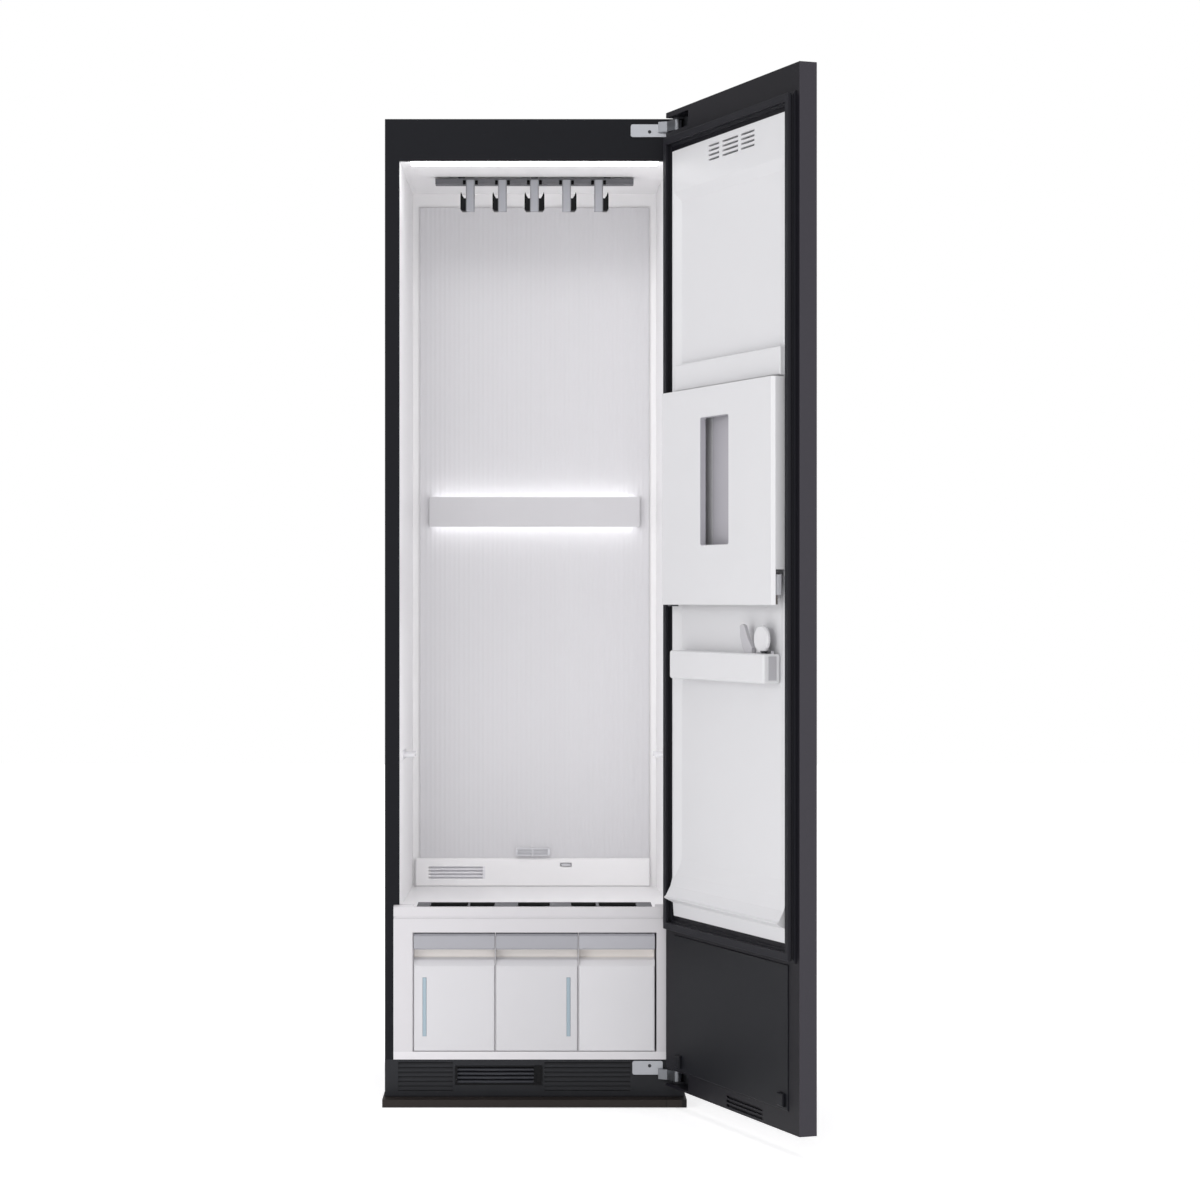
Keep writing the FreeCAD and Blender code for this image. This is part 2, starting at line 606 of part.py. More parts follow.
def tank_shell(low, high):
    """An open tank with a sloped upper face, a grip recess under its lid and one hollow."""
    slope_low = f"({lid_low} - grip_high - face_slope - 5)"
    side = [
        ("tank_face", tank_base),
        ("tank_face", slope_low),
        ("tank_face + 10", f"{slope_low} + face_slope"),
        (grip_back, f"{lid_low} - grip_high"),
        (grip_back, lid_low),
        (tank_back, lid_low),
        (tank_back, tank_base),
    ]
    shell = rounded(prism("X", side, low, high), "2.5",
                    lambda way, mid: way in "xz" and mid.y < value("tank_face") + 1)
    hollow_x = (f"{low} + tank_wall", f"{high} - tank_wall")
    hollow_y = (f"{grip_back} + 2 + tank_wall", f"{tank_back} - tank_wall")
    return cut(shell, block(hollow_x, hollow_y, (f"{tank_base} + tank_wall", f"{lid_low} + 1")))


def tank_lid(low, high):
    """A lid that overhangs the grip, with a sunk top and the filler opening in it."""
    side = [
        ("tank_face - 1", f"{lid_low} + 3"),
        ("tank_face - 1", f"{tank_top} - lid_corner"),
        ("tank_face - 1 + lid_corner", tank_top),
        (f"{tank_back} - 4", tank_top),
        (tank_back, f"{tank_top} - 4"),
        (tank_back, lid_low),
        ("tank_face + 2", lid_low),
    ]
    dish_y = (f"{tank_back} - 165", f"{tank_back} - 20")
    dish = block((f"{low} + 12", f"{high} - 12"), dish_y, (f"{lid_low} + 8", f"{tank_top} + 1"))
    filler_y = (f"{tank_back} - 125", f"{tank_back} - 40")
    filler = block((f"{low} + 30", f"{high} - 30"), filler_y, (f"{lid_low} - 1", tank_top))
    return cut(prism("X", side, low, high), dish, filler)


size("level_wide", 8, "width of the level windows")
size("level_rise", 29.6, "level windows above the tanks' underside")
size("level_drop", 55, "level windows below the lids")
size("level_left", 17.4, "level window inside the supply tank's left side")
size("level_right", 14.3, "level window inside the drain tank's right side")
size("level_gap", 0.2, "clearance round the level windows")
level_places = {"supply": f"({supply_x[0]} + level_left)",
                "drain": "(drain_right - level_right - level_wide)"}
for name, (low, high) in (("supply", supply_x), ("drain", drain_x)):
    left = level_places[name]
    level_z = (f"{tank_base} + level_rise", f"{lid_low} - level_drop")
    groove = block((left, f"{left} + level_wide"), ("tank_face - 1", "tank_face + 1.5"), level_z)
    piece(f"{name}_tank", cut(tank_shell(low, high), groove))
    piece(f"{name}_tank_lid", tank_lid(low, high))
    pane_x = (f"{left} + level_gap", f"{left} + level_wide - level_gap")
    pane_z = (f"{level_z[0]} + level_gap", f"{level_z[1]} - level_gap")
    pane = block(pane_x, ("tank_face - 0.4", "tank_face + 1.5"), pane_z)
    piece(f"{name}_level_window",
          bevelled(pane, "1", lambda way, mid: mid.y < value("tank_face") and way == "z"))
piece("filter_drawer", fuse(tank_shell(*drawer_x), tank_lid(*drawer_x)))

# ---------------------------------------------------------------- base grille and its pull-out filter
size("grille_front", 10, "depth of the base grille")
size("louvre_pitch", 9.2, "pitch of the louvres")
size("louvre_left_in", 26.5, "louvres inside the left side panel")
size("louvre_right_in", 106.5, "louvres inside the right side panel, clear of the hinge plate")
size("grille_rim", 5, "rim of the base grille round its louvres")
size("filter_left", 157, "left side of the base filter from the centre plane")
size("filter_right", 15, "right side of the base filter's tab from the centre plane")
size("tab_width", 14, "width of the pull tab")
size("tab_stand", 3, "pull tab in front of the front frame's face")
size("filter_rise", 17, "bottom of the base filter above the underside of the body")
size("filter_high", 38, "height of the base filter")
size("filter_deep", 30, "base filter behind the front frame's face")
size("filter_wall", 3, "wall of the base filter")
filter_low = "(body_low + filter_rise)"
filter_top = "(body_low + filter_rise + filter_high)"
grille = block((f"-{cabinet_half}", cabinet_half), ("0", "grille_front"),
               ("plinth_height + fit_gap", bay_low))
windows = []
blades = []
left_window = (f"louvre_left_in - {cabinet_half}", "-filter_left - grille_rim")
right_window = ("filter_right + grille_rim", f"{cabinet_half} - louvre_right_in")
louvres = int(value("(grille_height - 2 * grille_rim - 8.5) / louvre_pitch")) + 1
for low, high in (left_window, right_window):
    windows.append(block((low, high), ("-1", "grille_front + 1"),
                         ("body_low + grille_rim", f"{bay_low} - grille_rim")))
    for row in range(louvres):
        foot = f"(body_low + grille_rim + 1.5 + {row} * louvre_pitch)"
        section = [("1", foot), ("1", f"{foot} + 4"), ("8", f"{foot} + 8.5"), ("8", f"{foot} + 4.5")]
        blades.append(prism("X", section, f"{low} - 1", f"{high} + 1", name="blade"))
pocket_x = ("-filter_left - fit_gap", "filter_right + fit_gap")
windows.append(block(pocket_x, ("-1", "grille_front + 1"),
                     (f"{filter_low} - fit_gap", f"{filter_top} + fit_gap")))
piece("base_grille", fuse(cut(grille, group(*windows)), *blades))

tab_x = ("filter_right - tab_width", "filter_right")
face = block(("-filter_left", "filter_right"), ("1", "filter_deep"), (filter_low, filter_top))
hollow_x = ("filter_wall + 1 - filter_left", "filter_right - tab_width - 2")
hollow = block(hollow_x, ("0", "filter_deep + 1"),
               (f"{filter_low} + filter_wall", f"{filter_top} - filter_wall"))
tab = block(tab_x, ("-tab_stand", "1"), (filter_low, filter_top))
scoop_x = ("filter_right - tab_width + 2", "filter_right - 2")
scoop = block(scoop_x, ("-tab_stand - 1", "-1"), (f"{filter_low} + 4", f"{filter_top} - 4"))
slats = []
slat_pitch = "((filter_high - 2 * filter_wall) / 4)"
for row in range(4):
    foot = f"({filter_low} + filter_wall + 1 + {row} * {slat_pitch})"
    section = [("4", foot), ("4", f"{foot} + 3.5"), ("14", f"{foot} + 6"), ("14", f"{foot} + 2.5")]
    slats.append(prism("X", section, "filter_wall - filter_left", "filter_right - tab_width - 1",
                       name="slat"))
piece("base_filter", fuse(cut(face, hollow), cut(tab, scoop), *slats))

# ---------------------------------------------------------------- shaking hanger rail and its hooks
size("rail_gap", 3.3, "rail below the ceiling")
size("rail_thick", 11.4, "height of the rail")
size("rail_deep", 16, "half the depth of the rail")
size("hook_pitch", 66, "pitch of the five hooks")
size("hook_drop", 57.3, "lowest point of the hooks below the rail")
size("hook_wide", 18, "width of a hook's front bar")
size("spindle", 4, "radius of a hook's spindle")
size("spindle_gap", 0.05, "running clearance of spindles, rod and axles")
size("notch_half", 15.5, "half the width of the notch for a hook")
size("guide_radius", 5, "radius of the rail's guide rod")
size("guide_rise", 23, "guide rod above the cavity's ceiling")
size("yoke_back", 35, "yoke slot behind the rail")
size("pin_radius", 4, "radius of the eccentric pin")
size("pin_gap", 1.6, "clearance of the pin in the yoke")
rail_high = f"({cavity_top} - rail_gap)"
rail_low = f"({cavity_top} - rail_gap - rail_thick)"
guide_z = f"({cavity_top} + guide_rise)"
rail = block(("-rail_half", "rail_half"), ("rail_back - rail_deep", "rail_back + rail_deep"),
             (rail_low, rail_high))
notches = []
for number in range(-2, 3):
    middle = f"{number} * hook_pitch"
    notch_z = (f"{rail_low} - 1", f"{rail_high} - 2.5")
    notch_x = (f"{middle} - notch_half", f"{middle} + notch_half")
    notches.append(block(notch_x, ("rail_back - rail_deep - 1", "rail_back - spindle"), notch_z))
    notches.append(rod((middle, "rail_back"), "spindle + spindle_gap", *notch_z))
parts = [cut(rail, group(*notches))]
for place in (f"-{stem_out}", stem_out):
    x = (f"{place} - stem_half", f"{place} + stem_half")
    stem = block(x, ("rail_back - stem_deep", "rail_back + stem_deep"),
                 (f"{rail_high} - 1", f"{guide_z} - 8"))
    eye = block(x, ("rail_back - 11", "rail_back + 11"), (f"{guide_z} - 9", f"{guide_z} + 10"))
    bore = rod(("rail_back", guide_z), "guide_radius + spindle_gap", f"{place} - 20", f"{place} + 20",
               axis="X")
    parts.append(cut(fuse(stem, eye), bore))
pin_back = "(rail_back + yoke_back)"
slot_half = "(pin_radius + pin_gap)"
stem_y = ("rail_back - stem_deep", "rail_back + stem_deep")
stem = block(("-stem_half", "stem_half"), stem_y, (f"{rail_high} - 1", f"{guide_z} - 16"))
yoke = block(("-17", "17"), ("rail_back - 8", f"{pin_back} + 20"), (f"{guide_z} - 16", f"{guide_z} - 10"))
yoke_slot = block((f"-{slot_half}", slot_half), (f"{pin_back} - 7", f"{pin_back} + 12"),
                  (f"{guide_z} - 17", f"{guide_z} - 9"))
parts += [stem, cut(yoke, yoke_slot)]
piece("hanger_rail", fuse(*parts))

hook_low = f"({rail_low} - hook_drop)"
prong = [("17", "2"), ("20.5", "6"), ("20.5", "36"), ("19", "41"), ("16.5", "34"), ("13", "28"),
         ("8.5", "28"), ("8.5", "11")]
for number in range(5):
    middle = f"({number} - 2) * hook_pitch"
    pin = rod((middle, "rail_back"), "spindle", f"{hook_low} + 29", f"{rail_high} - 4")
    profile = [
        ("rail_back + spindle", f"{hook_low} + 37"),
        ("rail_back - 15", f"{hook_low} + 37"),
        ("rail_back - 15", f"{rail_high} - 3.2"),
        ("rail_back - 18", f"{rail_high} - 3.2"),
        ("rail_back - 19", hook_low),
        ("rail_back - 13", hook_low),
        ("rail_back - 12", f"{hook_low} + 29"),
        ("rail_back + spindle", f"{hook_low} + 29"),
    ]
    arm = prism("X", profile, f"{middle} - hook_wide / 2", f"{middle} + hook_wide / 2")
    prongs = []
    for side in (-1, 1):
        hook_end = prong if side * (number - 2) >= 0 else [("8", "2"), ("8", "11")]
        corners = [("0", "11"), ("0", "2")] + hook_end
        outline = [(f"{middle} + {side} * {x}", f"{hook_low} + {z}") for x, z in corners]
        prongs.append(prism("Y", outline, "rail_back - 15", "rail_back + 6", name="prong"))
    piece(f"hanger_hook_{number + 1}", fuse(pin, arm, *prongs))

# ---------------------------------------------------------------- the rail's drive above the ceiling
size("crank", 18, "throw of the eccentric pin")
size("pulley_rim", 40, "rim radius of the eccentric pulley")
size("pulley_run", 37, "running radius of the eccentric pulley")
size("small_rim", 12, "rim radius of the motor pulley")
size("small_run", 10, "running radius of the motor pulley")
size("pulley_rise", 12, "eccentric pulley above the guide rod")
size("pulley_thick", 13, "thickness of the eccentric pulley")
size("flange", 2.5, "thickness of the pulley flanges")
size("axle", 5, "radius of the pulley's axle")
size("motor_out", 120, "motor beside the eccentric pulley")
size("motor_radius", 30, "radius of the shaker motor")
size("motor_high", 26, "height of the shaker motor")
size("belt_thick", 2, "thickness of the belt")
pulley_back = "(rail_back + yoke_back + crank)"
disc_low = f"({guide_z} + pulley_rise)"
disc_high = f"({guide_z} + pulley_rise + pulley_thick)"
outline = [("0", disc_low), ("pulley_rim", disc_low), ("pulley_rim", f"{disc_low} + flange")]
outline += [("pulley_run", f"{disc_low} + flange"), ("pulley_run", f"{disc_high} - flange")]
outline += [("pulley_rim", f"{disc_high} - flange"), ("pulley_rim", disc_high), ("0", disc_high)]
pulley = turned(outline, ("0", pulley_back, "0"))
pin = rod(("0", pin_back), "pin_radius", f"{guide_z} - 15", f"{disc_low} + 1")
axle = rod(("0", pulley_back), "axle", f"{disc_high} - 1", f"{disc_high} + 15")
piece("eccentric_pulley", fuse(pulley, pin, axle))

bridge_low = f"({disc_high} + 15)"
guide = rod(("rail_back", guide_z), "guide_radius", "-rail_half - 11", "rail_half + 11", axis="X")
brackets = []
for side in (-1, 1):
    outline = [("rail_back - 14", ceiling_top), ("rail_back + 14", ceiling_top)]
    outline += [("rail_back + 9", f"{guide_z} + 10"), ("rail_back - 9", f"{guide_z} + 10")]
    brackets.append(prism("X", outline, *span(side, "rail_half - 4", "rail_half + 11"), name="bracket"))
bridge_far = f"({pulley_back} + pulley_rim + 10)"
outline = [
    (f"{bridge_far} - 4", ceiling_top),
    (bridge_far, ceiling_top),
    (bridge_far, f"{bridge_low} + 4"),
    (f"{pulley_back} - 14", f"{bridge_low} + 4"),
    (f"{pulley_back} - 14", bridge_low),
    (f"{bridge_far} - 4", bridge_low),
]
bridge = prism("X", outline, "-22", "22")
bearing = rod(("0", pulley_back), "axle + 5", f"{bridge_low} - 10", bridge_low)
bearing_bore = rod(("0", pulley_back), "axle + spindle_gap", f"{bridge_low} - 11", bridge_low)
piece("rail_guide_frame", group(fuse(guide, *brackets), fuse(bridge, cut(bearing, bearing_bore))))

motor_top = f"({ceiling_top} + motor_high)"
outline = [("0", ceiling_top), ("motor_radius", ceiling_top), ("motor_radius", f"{motor_top} - 3"),
           ("motor_radius - 3", motor_top)]
outline.append(("0", motor_top))
piece("shake_motor", turned(outline, ("motor_out", pulley_back, "0")))
outline = [("0", f"{motor_top} + fit_gap"), ("small_rim", f"{motor_top} + fit_gap"),
           ("small_rim", f"{disc_low} + flange")]
outline += [("small_run", f"{disc_low} + flange"), ("small_run", disc_high), ("0", disc_high)]
piece("motor_pulley", turned(outline, ("motor_out", pulley_back, "0")))


def belt_loop(big, small, low, high):
    """The outline round two pulleys as a solid: two arcs joined by their outer tangents."""
    distance = value("motor_out")
    middle = value(pulley_back)
    lean = math.asin((big - small) / distance)
    up = FreeCAD.Vector(math.sin(lean), math.cos(lean), 0)
    centre = FreeCAD.Vector(0, middle, low)
    end = FreeCAD.Vector(distance, middle, low)
    mirror = FreeCAD.Vector(up.x, -up.y, 0)
    ahead = FreeCAD.Vector(1, 0, 0)
    edges = [
        Part.LineSegment(centre + up * big, end + up * small).toShape(),
        Part.Arc(end + up * small, end + ahead * small, end + mirror * small).toShape(),
        Part.LineSegment(end + mirror * small, centre + mirror * big).toShape(),
        Part.Arc(centre + mirror * big, centre - ahead * big, centre + up * big).toShape(),
    ]
    return Part.Face(Part.Wire(edges)).extrude(FreeCAD.Vector(0, 0, high - low))


belt_low = value(f"{disc_low} + flange + 2")
belt_high = value(f"{disc_high} - flange - 2")
inner_big, inner_small = value("pulley_run + fit_gap"), value("small_run + fit_gap")
outer_big, outer_small = value("pulley_run + fit_gap + belt_thick"), value("small_run + fit_gap + belt_thick")
belt = doc.addObject("Part::Feature", "belt")
outer_loop = belt_loop(outer_big, outer_small, belt_low, belt_high)
belt.Shape = outer_loop.cut(belt_loop(inner_big, inner_small, belt_low, belt_high))
piece("drive_belt", belt)

size("board_left_in", 50, "control box inside the left side panel")
size("board_right", 60, "right side of the control box from the centre plane")
size("board_high", 57, "height of the control box")
board_y = ("frame_depth + 36", "rail_back - 50")
box = block((f"board_left_in - {cabinet_half}", "-board_right"), board_y,
            (ceiling_top, f"{ceiling_top} + board_high"))
piece("control_board_box",
      bevelled(box, "4", lambda way, mid: way == "z" or mid.z > value(f"{ceiling_top} + board_high") - 1))

# ---------------------------------------------------------------- machine room behind and under the tanks
size("can_radius", 62, "radius of the compressor's can")
size("can_in", 106.5, "compressor inside the left side panel")
size("can_back", 131, "compressor behind the tank bay")
size("can_high", 148, "height of the compressor's can")
size("stand", 16, "machines above the base tray's floor")
size("fan_radius", 72, "outer radius of the fan housing")
size("fan_in", 121.5, "fan inside the right side panel")
size("fan_back", 126, "fan behind the tank bay")
size("fan_rise", 191, "fan housing above the base tray's floor")
size("fan_high", 75, "height of the fan housing")
size("fin_thick", 3, "thickness of a fin")
size("coil_left", 60, "left side of the heat exchangers from the centre plane")
size("coil_gap", 25, "heat exchangers beside the fan housing")
tray_floor = "(body_low + tray_wall)"
can_x = f"(can_in - {cabinet_half})"
can_y = f"({room_front} + can_back)"
can_low = f"({tray_floor} + stand)"
outline = [("0", can_low), ("can_radius", can_low), ("can_radius", f"{can_low} + can_high - 34"),
           ("can_radius - 24", f"{can_low} + can_high")]
outline.append(("0", f"{can_low} + can_high"))
shell = turned(outline, (can_x, can_y, "0"))
legs = []
for x in (-42, 42):
    for y in (-42, 42):
        leg = prism("Z", hexagon(f"{can_x} + {x}", f"{can_y} + {y}", "9"), tray_floor, f"{can_low} + 1",
                    name="leg")
        legs.append(leg)
plate_x = (f"{can_x} - 55", f"{can_x} + 55")
plate = block(plate_x, (f"{can_y} - 55", f"{can_y} + 55"), (can_low, f"{can_low} + 3"))
piece("compressor", fuse(shell, plate, *legs))

fan_x = f"({cabinet_half} - fan_in)"
fan_y = f"({room_front} + fan_back)"
coil_x = ("-coil_left", f"{fan_x} - fan_radius - coil_gap")
coil_y = (f"{room_front} + 36", f"{room_front} + 106")
core_y = (f"{room_front} + 46", f"{room_front} + 96")
coils = []
FINS = 12
fin_pitch = f"(({coil_x[1]} + coil_left - fin_thick) / {FINS - 1})"
lower_coil = (tray_floor, f"{tray_floor} + 146")
upper_coil = (f"{tray_floor} + 176", f"{cavity_floor} - 55")
for low, high in (lower_coil, upper_coil):
    for fin in range(FINS):
        left = f"({fin} * {fin_pitch} - coil_left)"
        coils.append(block((left, f"{left} + fin_thick"), coil_y, (low, high), name="fin"))
    coils.append(block(coil_x, core_y, (f"{low} + 15", f"{high} - 12")))
coils.append(block(coil_x, (f"{room_front} + 56", f"{room_front} + 86"),
                   (f"{lower_coil[1]} - 13", f"{upper_coil[0]} + 16")))
piece("heat_exchangers", fuse(*coils))

fan_low = f"({tray_floor} + fan_rise)"
ring = [("fan_radius - 3", fan_low), ("fan_radius", fan_low), ("fan_radius", f"{fan_low} + fan_high"),
        ("fan_radius - 3", f"{fan_low} + fan_high")]
housing = [turned(ring, (fan_x, fan_y, "0"))]
for x, y in ((60, 22), (-68, 22), (-4, -70)):
    leg_x = (f"{fan_x} + {x}", f"{fan_x} + {x} + 8")
    leg_y = (f"{fan_y} + {y}", f"{fan_y} + {y} + 8")
    housing.append(block(leg_x, leg_y, (tray_floor, f"{fan_low} + 1"), name="leg"))
motor = [("0", f"{fan_low} - 65"), ("34", f"{fan_low} - 65"), ("34", f"{fan_low} - 15"),
         ("12", f"{fan_low} - 8"), ("12", f"{fan_low} - 2")]
motor += [("axle + spindle_gap", f"{fan_low} - 2"), ("axle + spindle_gap", f"{fan_low} - 15"),
          ("0", f"{fan_low} - 15")]
foot_x = (f"{fan_x} - 16", f"{fan_x} + 16")
foot = block(foot_x, (f"{fan_y} - 16", f"{fan_y} + 16"), (tray_floor, f"{fan_low} - 64"))
piece("fan_housing", group(fuse(*housing), fuse(turned(motor, (fan_x, fan_y, "0")), foot)))

BLADES = 12
wheel = [("0", f"{fan_low} + 6"), ("fan_radius - 8", f"{fan_low} + 6"), ("fan_radius - 8", f"{fan_low} + 9"),
         ("0", f"{fan_low} + 9")]
wheel_parts = [turned(wheel, (fan_x, fan_y, "0")),
               rod((fan_x, fan_y), "axle", f"{fan_low} - 10", f"{fan_low} + 7")]
for number in range(BLADES):
    angle = math.radians(number * 360 / BLADES)
    blade = doc.addObject("Part::Box", "blade")
    blade.Length = 12
    blade.Width = 2.4
    blade.setExpression("Height", bound("fan_high - 12"))
    blade.Placement.Rotation = FreeCAD.Rotation(FreeCAD.Vector(0, 0, 1), math.degrees(angle))
    across = math.cos(angle)
    aside = math.sin(angle)
    blade.setExpression("Placement.Base.x", bound(f"{fan_x} + {across} * (fan_radius - 21) + {1.2 * aside}"))
    blade.setExpression("Placement.Base.y", bound(f"{fan_y} + {aside} * (fan_radius - 21) - {1.2 * across}"))
    blade.setExpression("Placement.Base.z", bound(f"{fan_low} + 8"))
    wheel_parts.append(blade)
piece("fan_impeller", fuse(*wheel_parts))

size("boiler_left_in", 31.5, "steam generator inside the left side panel")
size("boiler_long", 145, "length of the steam generator")
size("boiler_high", 126, "height of the steam generator")
boiler_x = (f"boiler_left_in - {cabinet_half}", f"boiler_left_in + boiler_long - {cabinet_half}")
boiler = block(boiler_x, (f"{room_front} + 21", f"{room_front} + 58"),
               (tray_floor, f"{tray_floor} + boiler_high"))
boiler = bevelled(boiler, "8", lambda way, mid: way == "z")
pipe = rod((f"{boiler_x[1]} - 20", f"{room_front} + 40"), "6", f"{tray_floor} + boiler_high - 1",
           f"{cavity_floor} - 45")
piece("steam_generator", fuse(boiler, pipe))

size("pump_high", 70, "height of the water pumps")
pumps = []
for middle in (f"({fan_x} - 66)", f"({fan_x} + 54)"):
    pump_y = (f"{room_front} + 6", f"{room_front} + 34")
    body = block((f"{middle} - 22", f"{middle} + 22"), pump_y, (tray_floor, f"{tray_floor} + pump_high"))
    body = bevelled(body, "5", lambda way, mid: way == "z")
    spout = rod((middle, f"{tray_floor} + 30"), "5", f"{room_front} + 33", f"{room_front} + 44", axis="Y")
    pumps.append(fuse(body, spout))
piece("water_pumps", group(*pumps))

# ------------------------------------------------------- door: outer panel, frame, liner, lower panel
size("door_over", 3.5, "door beyond each side panel")
size("door_rise", 20, "bottom of the door above the underside of the body")
size("door_above", 8, "top of the door above the top cover")
size("door_thick", 34.5, "thickness of the door")
size("door_skin", 2, "thickness of the outer panel")
size("door_gap", 15, "door's inner face to the front frame when closed")
size("door_open", 110.8, "opening angle of the door at rest, in degrees")
size("door_border", 45, "width of the dark border")
size("door_head", 83, "dark border above the door liner")
size("liner_lap", 14, "door liner below the top of the tank bay frame")
size("cross_rail", 38, "height of the door's cross rail below the liner")
size("sill_rail", 39, "height of the door's bottom rail")
size("pivot_in", 17.8, "pivot from the door's hinge edge")
size("pivot_deep", 17.25, "pivot from the door's inner face")
size("pocket_long", 108, "length of the hinge pockets")
size("pocket_deep", 28, "depth of the hinge pockets")
size("pocket_high", 30, "height of the hinge pockets")
size("pocket_drop", 10, "upper hinge pocket below the top of the door")
size("pocket_rise", 5, "lower hinge pocket above the bottom of the door")
door_width = "(cabinet_width + 2 * door_over)"
door_low = "(body_low + door_rise)"
door_high = "(cabinet_top + door_above)"
liner_low = f"({bay_top} - liner_lap)"
liner_high = f"({door_high} - door_head)"
band_low = f"({liner_low} - cross_rail)"
low_panel_low = f"({door_low} + sill_rail)"
pivot_x = "(cabinet_width / 2 + door_over - pivot_in)"
pivot_y = "(-door_gap - pivot_deep)"
upper_pocket = f"({door_high} - pocket_drop - pocket_high)"
lower_pocket = f"({door_low} + pocket_rise)"
door_middle = f"({door_width} / 2)"
field_x = ("door_border", f"{door_width} - door_border")

frame = block(("0", door_width), ("0", "door_thick - door_skin"), (door_low, door_high))
hollows = []
for low, high in ((liner_low, liner_high), (low_panel_low, band_low)):
    hollows.append(block(field_x, ("-1", "door_thick"), (low, high)))
for low in (upper_pocket, lower_pocket):
    hollows.append(block(("-1", "pocket_long"), ("-1", "pocket_deep"), (low, f"{low} + pocket_high")))
for row in range(3):
    low = f"({door_low} + 5 + {row} * 8)"
    hollows.append(block((f"{door_middle} - 13", f"{door_middle} + 145"), ("-1", "4"), (low, f"{low} + 5")))
door_piece("door_frame", cut(frame, group(*hollows)))
skin = block(("0", door_width), ("door_thick - door_skin", "door_thick"), (door_low, door_high))
door_piece("door_outer_panel",
           bevelled(skin, "door_skin / 2", lambda way, mid: mid.y > value("door_thick") - 0.5))

size("door_seat", 3, "how deep the liner and the lower panel sit in the frame")
size("liner_raise", 6, "how far the door liner's rim stands proud")
size("liner_back", 7, "back of the door liner behind the door's inner face")
size("field_deep", 7, "how far the liner's field is sunk below its rim")
size("rim_flat", 8, "flat width of the liner's rim")
size("rim_slope", 24, "width of the slope from the rim to the field")
size("lip_reach", 24, "how far the drip lip stands out")
size("lip_rise", 37, "tip of the drip lip above the liner's bottom")
size("shade_drop", 81, "raised field of the liner below its top")
size("liner_slot", 4, "height of the slots in the liner")
size("liner_slot_pitch", 8.8, "pitch of the slots in the liner")
lip_z = f"({liner_low} + lip_rise)"
field_y = "(field_deep - liner_raise)"
section = [
    ("liner_back", liner_low),
    ("liner_back", liner_high),
    ("-liner_raise", liner_high),
    ("-liner_raise", f"{liner_high} - shade_drop"),
    (field_y, f"{liner_high} - shade_drop - 21"),
    (field_y, f"{lip_z} + 75"),
    ("-liner_raise + 2", f"{lip_z} + 45"),
    ("-liner_raise - 4", f"{lip_z} + 22"),
    ("4 - lip_reach", f"{lip_z} + 3"),
    ("-lip_reach", lip_z),
    ("1.5 - lip_reach", f"{lip_z} - 2"),
    ("-5", f"{lip_z} - 11"),
    ("-3", liner_low),
]
size("bar_cover_drop", 421, "top of the trouser bar cover below the liner's top")
size("bar_cover_high", 52, "height of the trouser bar cover")
size("bar_cover_thick", 9, "thickness of the trouser bar cover")
size("press_side_in", 5.5, "press plate inside the liner's hinge side")
size("press_edge_in", 1, "press plate beyond the liner's free side")
size("press_gap", 2.6, "press plate below the trouser bar cover")
size("press_high", 411.4, "height of the press plate")
size("press_stand", 27, "front of the press plate above the liner")
size("press_thick", 11, "thickness of the press plate")
size("press_edge", 9, "thickness of the press plate's returned edge")
size("barrel", 5.5, "radius of the press hinge's barrel")
size("press_pin", 2.5, "radius of the press hinge pins")
size("press_pin_long", 10, "how far the pins reach into the barrel")
size("pad_in", 40, "pad behind the press inside the liner's sides")
size("pad_ends_in", 12, "pad behind the press inside the plate's ends")
size("window_corner", 5, "corner radius of the sight window")
size("window_side_in", 188.3, "sight window inside the plate's sides")
size("window_rise", 112, "sight window above the plate's bottom")
size("window_drop", 57, "sight window below the plate's top")
cover_z = f"({liner_high} - bar_cover_drop)"
cover_foot = f"({cover_z} - bar_cover_high)"
press_top = f"({cover_foot} - press_gap)"
press_low = f"({press_top} - press_high)"
press_left = "(door_border + press_side_in)"
press_right = f"({door_width} - door_border + press_edge_in)"
press_front = "(liner_raise + press_stand)"
hinge_in = "(door_border + press_side_in + barrel)"
hinge_out = "(liner_raise + 0.5 + barrel)"
pad_x = ("door_border + pad_in", f"{door_width} - door_border - pad_in")
pad_z = (f"{press_low} + pad_ends_in", f"{press_top} - pad_ends_in")
pad = block(pad_x, ("-liner_raise", "liner_back"), pad_z)
pad = bevelled(pad, "2", lambda way, mid: mid.y < value("-liner_raise") + 1)
rims = []
for near, way in (("door_border", "+"), (f"({door_width} - door_border)", "-")):
    outline = [
        (near, "liner_back"),
        (near, "-liner_raise"),
        (f"{near} {way} rim_flat", "-liner_raise"),
        (f"{near} {way} (rim_flat + rim_slope)", field_y),
        (f"{near} {way} (rim_flat + rim_slope)", "liner_back"),
    ]
    rims.append(prism("Z", outline, f"{lip_z} + 37", f"{liner_high} - shade_drop", name="rim"))
liner = fuse(prism("X", section, *field_x), *rims, pad)
slots = []
for left, right in (("- 82", "- 34"), ("- 19", "+ 51"), ("+ 64", "+ 123")):
    for row in range(4):
        low = f"({liner_high} - 42.5 + {row} * liner_slot_pitch)"
        slot_x = (f"{door_middle} {left}", f"{door_middle} {right}")
        slots.append(block(slot_x, ("-8", "liner_back + 1"), (low, f"{low} + liner_slot")))
door_piece("door_liner", cut(liner, group(*slots)))

